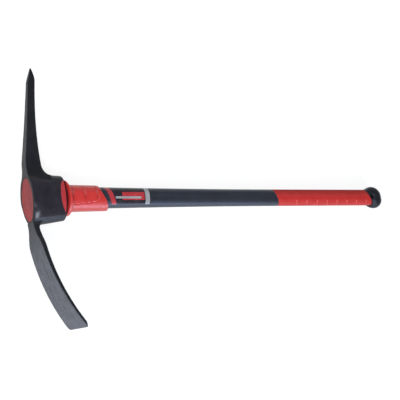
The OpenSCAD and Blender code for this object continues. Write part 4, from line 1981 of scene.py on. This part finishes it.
@dataclass(frozen=True)
class ShaftFilm:
    """A plain dark film on the near side of the shaft, with red and pale bands. Sizes in mm."""

    profile: HandleProfile
    front: float = 166.0
    slant: float = 16.0
    rear: float = 272.7
    pick_turn: float = 76.0
    adze_turn: float = 42.0
    edge_len: float = 11.0
    # Swings go from -1 at the film's adze edge to 1 at its pick edge
    edge_swings: tuple[float, float] = (-0.98, 0.9)
    block_margins: tuple[float, float] = (40.0, 14.0)
    block_swings: tuple[float, float] = (-0.55, 0.2)
    line_margins: tuple[float, float] = (24.0, 22.0)
    line_swings: tuple[float, float] = (-0.42, -0.22)
    bar_margins: tuple[float, float] = (12.0, 1.5)
    bar_swings: tuple[float, float] = (-0.96, 0.95)
    lift: float = 0.12
    layer: float = 0.03
    sink: float = 0.2
    columns: int = 40
    rows: int = 30

    def surface(self, x: np.ndarray, swing: np.ndarray, out: float) -> np.ndarray:
        """Gives points on or over the near side of the shaft.

        Args:
            x: Places along the axis.
            swing: From -1 at the film's adze edge to 1 at its pick edge.
            out: Distance over the surface.

        Returns:
            The points.
        """
        form = self.profile
        round_r = form.shaft_half(x) - form.flat_half + out
        front_r = float(form.shaft_half(self.front) - form.flat_half)
        pick_arc = math.radians(self.pick_turn) * front_r
        adze_arc = math.radians(self.adze_turn) * front_r
        run = mix(-adze_arc - form.flat_half, pick_arc + form.flat_half, (swing + 1) / 2)
        over = np.maximum(0.0, np.abs(run) - form.flat_half) / (round_r - out)
        y = np.sign(run) * (np.minimum(np.abs(run), form.flat_half) + round_r * np.sin(over))
        return np.stack([x, y, round_r * np.cos(over)], -1)

    def strip(self, shop: Workshop, name: str, ends: tuple[float, float], swings: tuple[float, float],
              over: float, leans: tuple[float, float] = (0.0, 0.0)) -> Object:
        """Lays a strip of film.

        Args:
            shop: The workshop.
            name: The strip's name.
            ends: Its front and rear on the pick side.
            swings: Its adze and pick edges, from -1 to 1.
            over: How far it lies over the film below.
            leans: Shares of the slant that its front and rear take.

        Returns:
            The strip.
        """
        swing = np.linspace(swings[0], swings[1], self.columns)[None, :]
        share = np.linspace(0, 1, self.rows)[:, None]
        lean = self.slant * (1 - swing) / 2
        x = mix(ends[0] + leans[0] * lean, ends[1] + leans[1] * lean, share)
        swing = np.broadcast_to(swing, x.shape)
        return shop.sheet(name, self.surface(x, swing, self.lift + over), self.surface(x, swing, -self.sink))

    def build(self, shop: Workshop, dark: Material, red: Material, pale: Material) -> None:
        """Lays the film, its red front edge and its bands.

        Args:
            shop: The workshop.
            dark: Material of the film.
            red: Material of the edge and the block.
            pale: Material of the line and the bar.
        """
        front, rear = self.front, self.rear
        film = self.strip(shop, "shaft_film", (front, rear), (-1.0, 1.0), 0.0, (1.0, 0.0))
        shop.finish(film, dark, Slot.CAP)
        edge = self.strip(shop, "shaft_film_edge", (front, front + self.edge_len), self.edge_swings,
                          self.layer, (1.0, 1.0))
        shop.finish(edge, red, Slot.GUARD)
        block = front + self.block_margins[0], rear - self.block_margins[1]
        line = front + self.line_margins[0], rear - self.line_margins[1]
        bar = rear - self.bar_margins[0], rear - self.bar_margins[1]
        bands = (("shaft_film_block", block, self.block_swings, red, Slot.GUARD),
                 ("shaft_film_line", line, self.line_swings, pale, Slot.CAP),
                 ("shaft_film_bar", bar, self.bar_swings, pale, Slot.CAP))
        for layers, (name, ends, swings, material, slot) in enumerate(bands, 2):
            shop.finish(self.strip(shop, name, ends, swings, self.layer * layers), material, slot)


@dataclass(frozen=True)
class SoftBox:
    """A soft lamp: where it stands from the tool's middle, its size in metres, power and colour."""

    name: str
    toward: tuple[float, float, float]
    distance: float
    size: tuple[float, float]
    watts: float
    color: tuple[float, float, float] = (1.0, 1.0, 1.0)

    def hang(self, target: Vector) -> None:
        """Hangs the lamp so that it faces a point.

        Args:
            target: The point to light.
        """
        lamp = bpy.data.lights.new(self.name, "AREA")
        lamp.shape = "RECTANGLE"
        lamp.size, lamp.size_y = self.size
        lamp.energy = self.watts
        lamp.color = self.color
        stand = bpy.data.objects.new(self.name, lamp)
        way = Vector(self.toward).normalized()
        stand.location = target + way * self.distance
        stand.rotation_euler = way.to_track_quat("Z", "Y").to_euler()
        bpy.context.scene.collection.objects.link(stand)


@dataclass(frozen=True)
class Studio:
    """The white floor, the room, the lamps and the camera, whose place is in mm and degrees."""

    floor_half: float = 9.0
    floor_color: Color = (0.24, 0.24, 0.24, 1.0)
    floor_glow: float = 0.82
    room_tint: Color = (0.9, 0.95, 1.0, 1.0)
    room_near: float = 0.55
    room_far: float = 0.4
    room_ceiling: float = 0.12
    wall_span: tuple[float, float] = (-0.8, 0.7)
    ceiling_span: tuple[float, float] = (0.2, 0.6)
    swing: float = 25.97
    tilt: float = -8.813
    distance: float = 2365.9
    aim: tuple[float, float, float] = (405.45, -4.69, 0.0)
    roll: float = -5.563
    lens: float = 108.72
    sensor: float = 36.0
    sight: float = 50.0
    lamps: tuple[SoftBox, ...] = (
        SoftBox("key_lamp", (-0.75, -0.3, 0.7), 2.6, (1.6, 1.6), 42.0),
        SoftBox("fill_lamp", (-0.45, 0.6, 0.66), 3.0, (1.8, 1.8), 32.0),
        SoftBox("low_lamp", (0.05, -0.7, 0.71), 2.2, (0.5, 1.0), 26.0, (0.8, 0.88, 1.0)),
        SoftBox("side_lamp", (0.6, -1.7, 0.42), 1.85, (1.0, 0.8), 13.5, (0.66, 0.78, 1.0)),
    )

    def lay_floor(self) -> None:
        """Lays the white floor, which keeps the tool's shadow."""
        half = self.floor_half
        mesh = bpy.data.meshes.new("studio_floor")
        corners = [(x * half, y * half, 0) for x, y in ((-1, -1), (1, -1), (1, 1), (-1, 1))]
        mesh.from_pydata(corners, [], [(0, 1, 2, 3)])
        floor = bpy.data.objects.new("studio_floor", mesh)
        bpy.context.scene.collection.objects.link(floor)
        material, graph = new_material("studio_white")
        path = graph.add("ShaderNodeLightPath")
        seen = graph.sums("MAXIMUM", path.outputs["Is Camera Ray"], path.outputs["Is Glossy Ray"])
        seen = graph.sums("MAXIMUM", seen, path.outputs["Is Transmission Ray"])
        glow = graph.add("ShaderNodeEmission", {"Strength": graph.sums("MULTIPLY", seen, self.floor_glow)})
        matte = graph.add("ShaderNodeBsdfDiffuse", {"Color": self.floor_color})
        both = graph.add("ShaderNodeAddShader", {0: matte.outputs[0], 1: glow.outputs[0]})
        graph.add("ShaderNodeOutputMaterial", {"Surface": both.outputs[0]})
        mesh.materials.append(material)

    def build_room(self) -> None:
        """Makes walls, brighter on the blade's side, that end in a dim ceiling."""
        world = bpy.data.worlds.new("studio_room")
        world.use_nodes = True
        world.node_tree.nodes.clear()
        graph = Graph(world.node_tree)
        way = graph.add("ShaderNodeTexCoord").outputs["Generated"]
        parts = graph.add("ShaderNodeSeparateXYZ", {0: way}).outputs
        wall = graph.span(parts["Y"], self.wall_span, (self.room_near, self.room_far))
        shade = graph.span(parts["Z"], self.ceiling_span, (1.0, 0.0))
        strength = graph.sums("ADD", graph.sums("MULTIPLY", wall, shade), self.room_ceiling)
        sky = graph.add("ShaderNodeBackground", {"Color": self.room_tint, "Strength": strength})
        graph.add("ShaderNodeOutputWorld", {"Surface": sky.outputs[0]})
        bpy.context.scene.world = world

    def set_camera(self, datum: Datum) -> None:
        """Sets the camera where the photograph was taken from.

        Args:
            datum: The tool's datum.
        """
        swing, tilt, roll = (math.radians(a) for a in (self.swing, self.tilt, self.roll))
        place = self.distance * Vector((-math.sin(swing) * math.cos(tilt), math.sin(tilt),
                                        math.cos(swing) * math.cos(tilt)))
        forward = (Vector(self.aim) - place).normalized()
        level = forward.cross(Vector((0, 1, 0))).normalized()
        upright = level.cross(forward)
        right = math.cos(roll) * level + math.sin(roll) * upright
        top = math.cos(roll) * upright - math.sin(roll) * level
        turn = Matrix((right, top, -forward)).transposed().to_4x4()
        lens = bpy.data.cameras.new("photo_camera")
        lens.sensor_width = self.sensor
        lens.lens = self.lens
        lens.clip_end = self.sight
        camera = bpy.data.objects.new("photo_camera", lens)
        camera.matrix_world = Matrix.Translation(Vector(datum.place(place))) @ turn
        bpy.context.scene.collection.objects.link(camera)
        bpy.context.scene.camera = camera

    def build(self, datum: Datum) -> None:
        """Builds the whole studio.

        Args:
            datum: The tool's datum.
        """
        self.lay_floor()
        self.build_room()
        for lamp in self.lamps:
            lamp.hang(Vector((0, 0, datum.axis_z)))
        self.set_camera(datum)
        bpy.context.scene.view_settings.view_transform = "Standard"


@dataclass(frozen=True)
class Mattock:
    """The whole tool: the head with its eye, and the handle with its moulded pieces."""

    shop: Workshop
    effects: Effects
    finishes: Finishes = Finishes()
    profile: HandleProfile = HandleProfile()
    head: ForgedHead = ForgedHead()

    def build(self) -> None:
        """Builds and dresses every piece in order."""
        shop, looks, form = self.shop, self.finishes, self.profile
        made = self.made
        head = self.head.build(shop, made(looks.lacquer))
        EyePlug(self.head.eye, form).build(shop, made(looks.plug))
        EyeBond(self.head.eye).build(shop, made(looks.resin))
        guard = Guard(form)
        guard.build(shop, made(guard.dressed(looks.guard, shop.datum)))
        ShaftJacket(form).build(shop, made(looks.jacket))
        grip = Grip(form)
        grip.build(shop, made(grip.dressed(looks.rubber, shop.datum)))
        EndCap(form).build(shop, made(looks.cap))
        film, stripe, pale = made(looks.film), made(looks.stripe), made(looks.pale)
        LugFilm(self.head.eye).build(shop, head, film, stripe)
        ShaftFilm(form).build(shop, film, stripe, pale)
        self.dress_node("core_rod", made(looks.fibre))

    def made(self, look: Any) -> Material:
        """Makes the material of a finish."""
        return look.material(self.effects)

    def dress_node(self, node: str, material: Material) -> None:
        """Gives a CAD node that stays its material.

        Args:
            node: The node's name.
            material: Its material.
        """
        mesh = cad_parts[node].data
        mesh.materials.clear()
        mesh.materials.append(material)
        LOG.info("%s: kept from the frame", node)


def main() -> None:
    """Builds the tool and the studio, and reports each piece."""
    logging.basicConfig(level=logging.INFO, format="%(name)s %(message)s")
    datum = Datum.from_frame()
    Mattock(Workshop(datum), Effects()).build()
    Studio().build(datum)


if __name__ == "__main__":
    main()
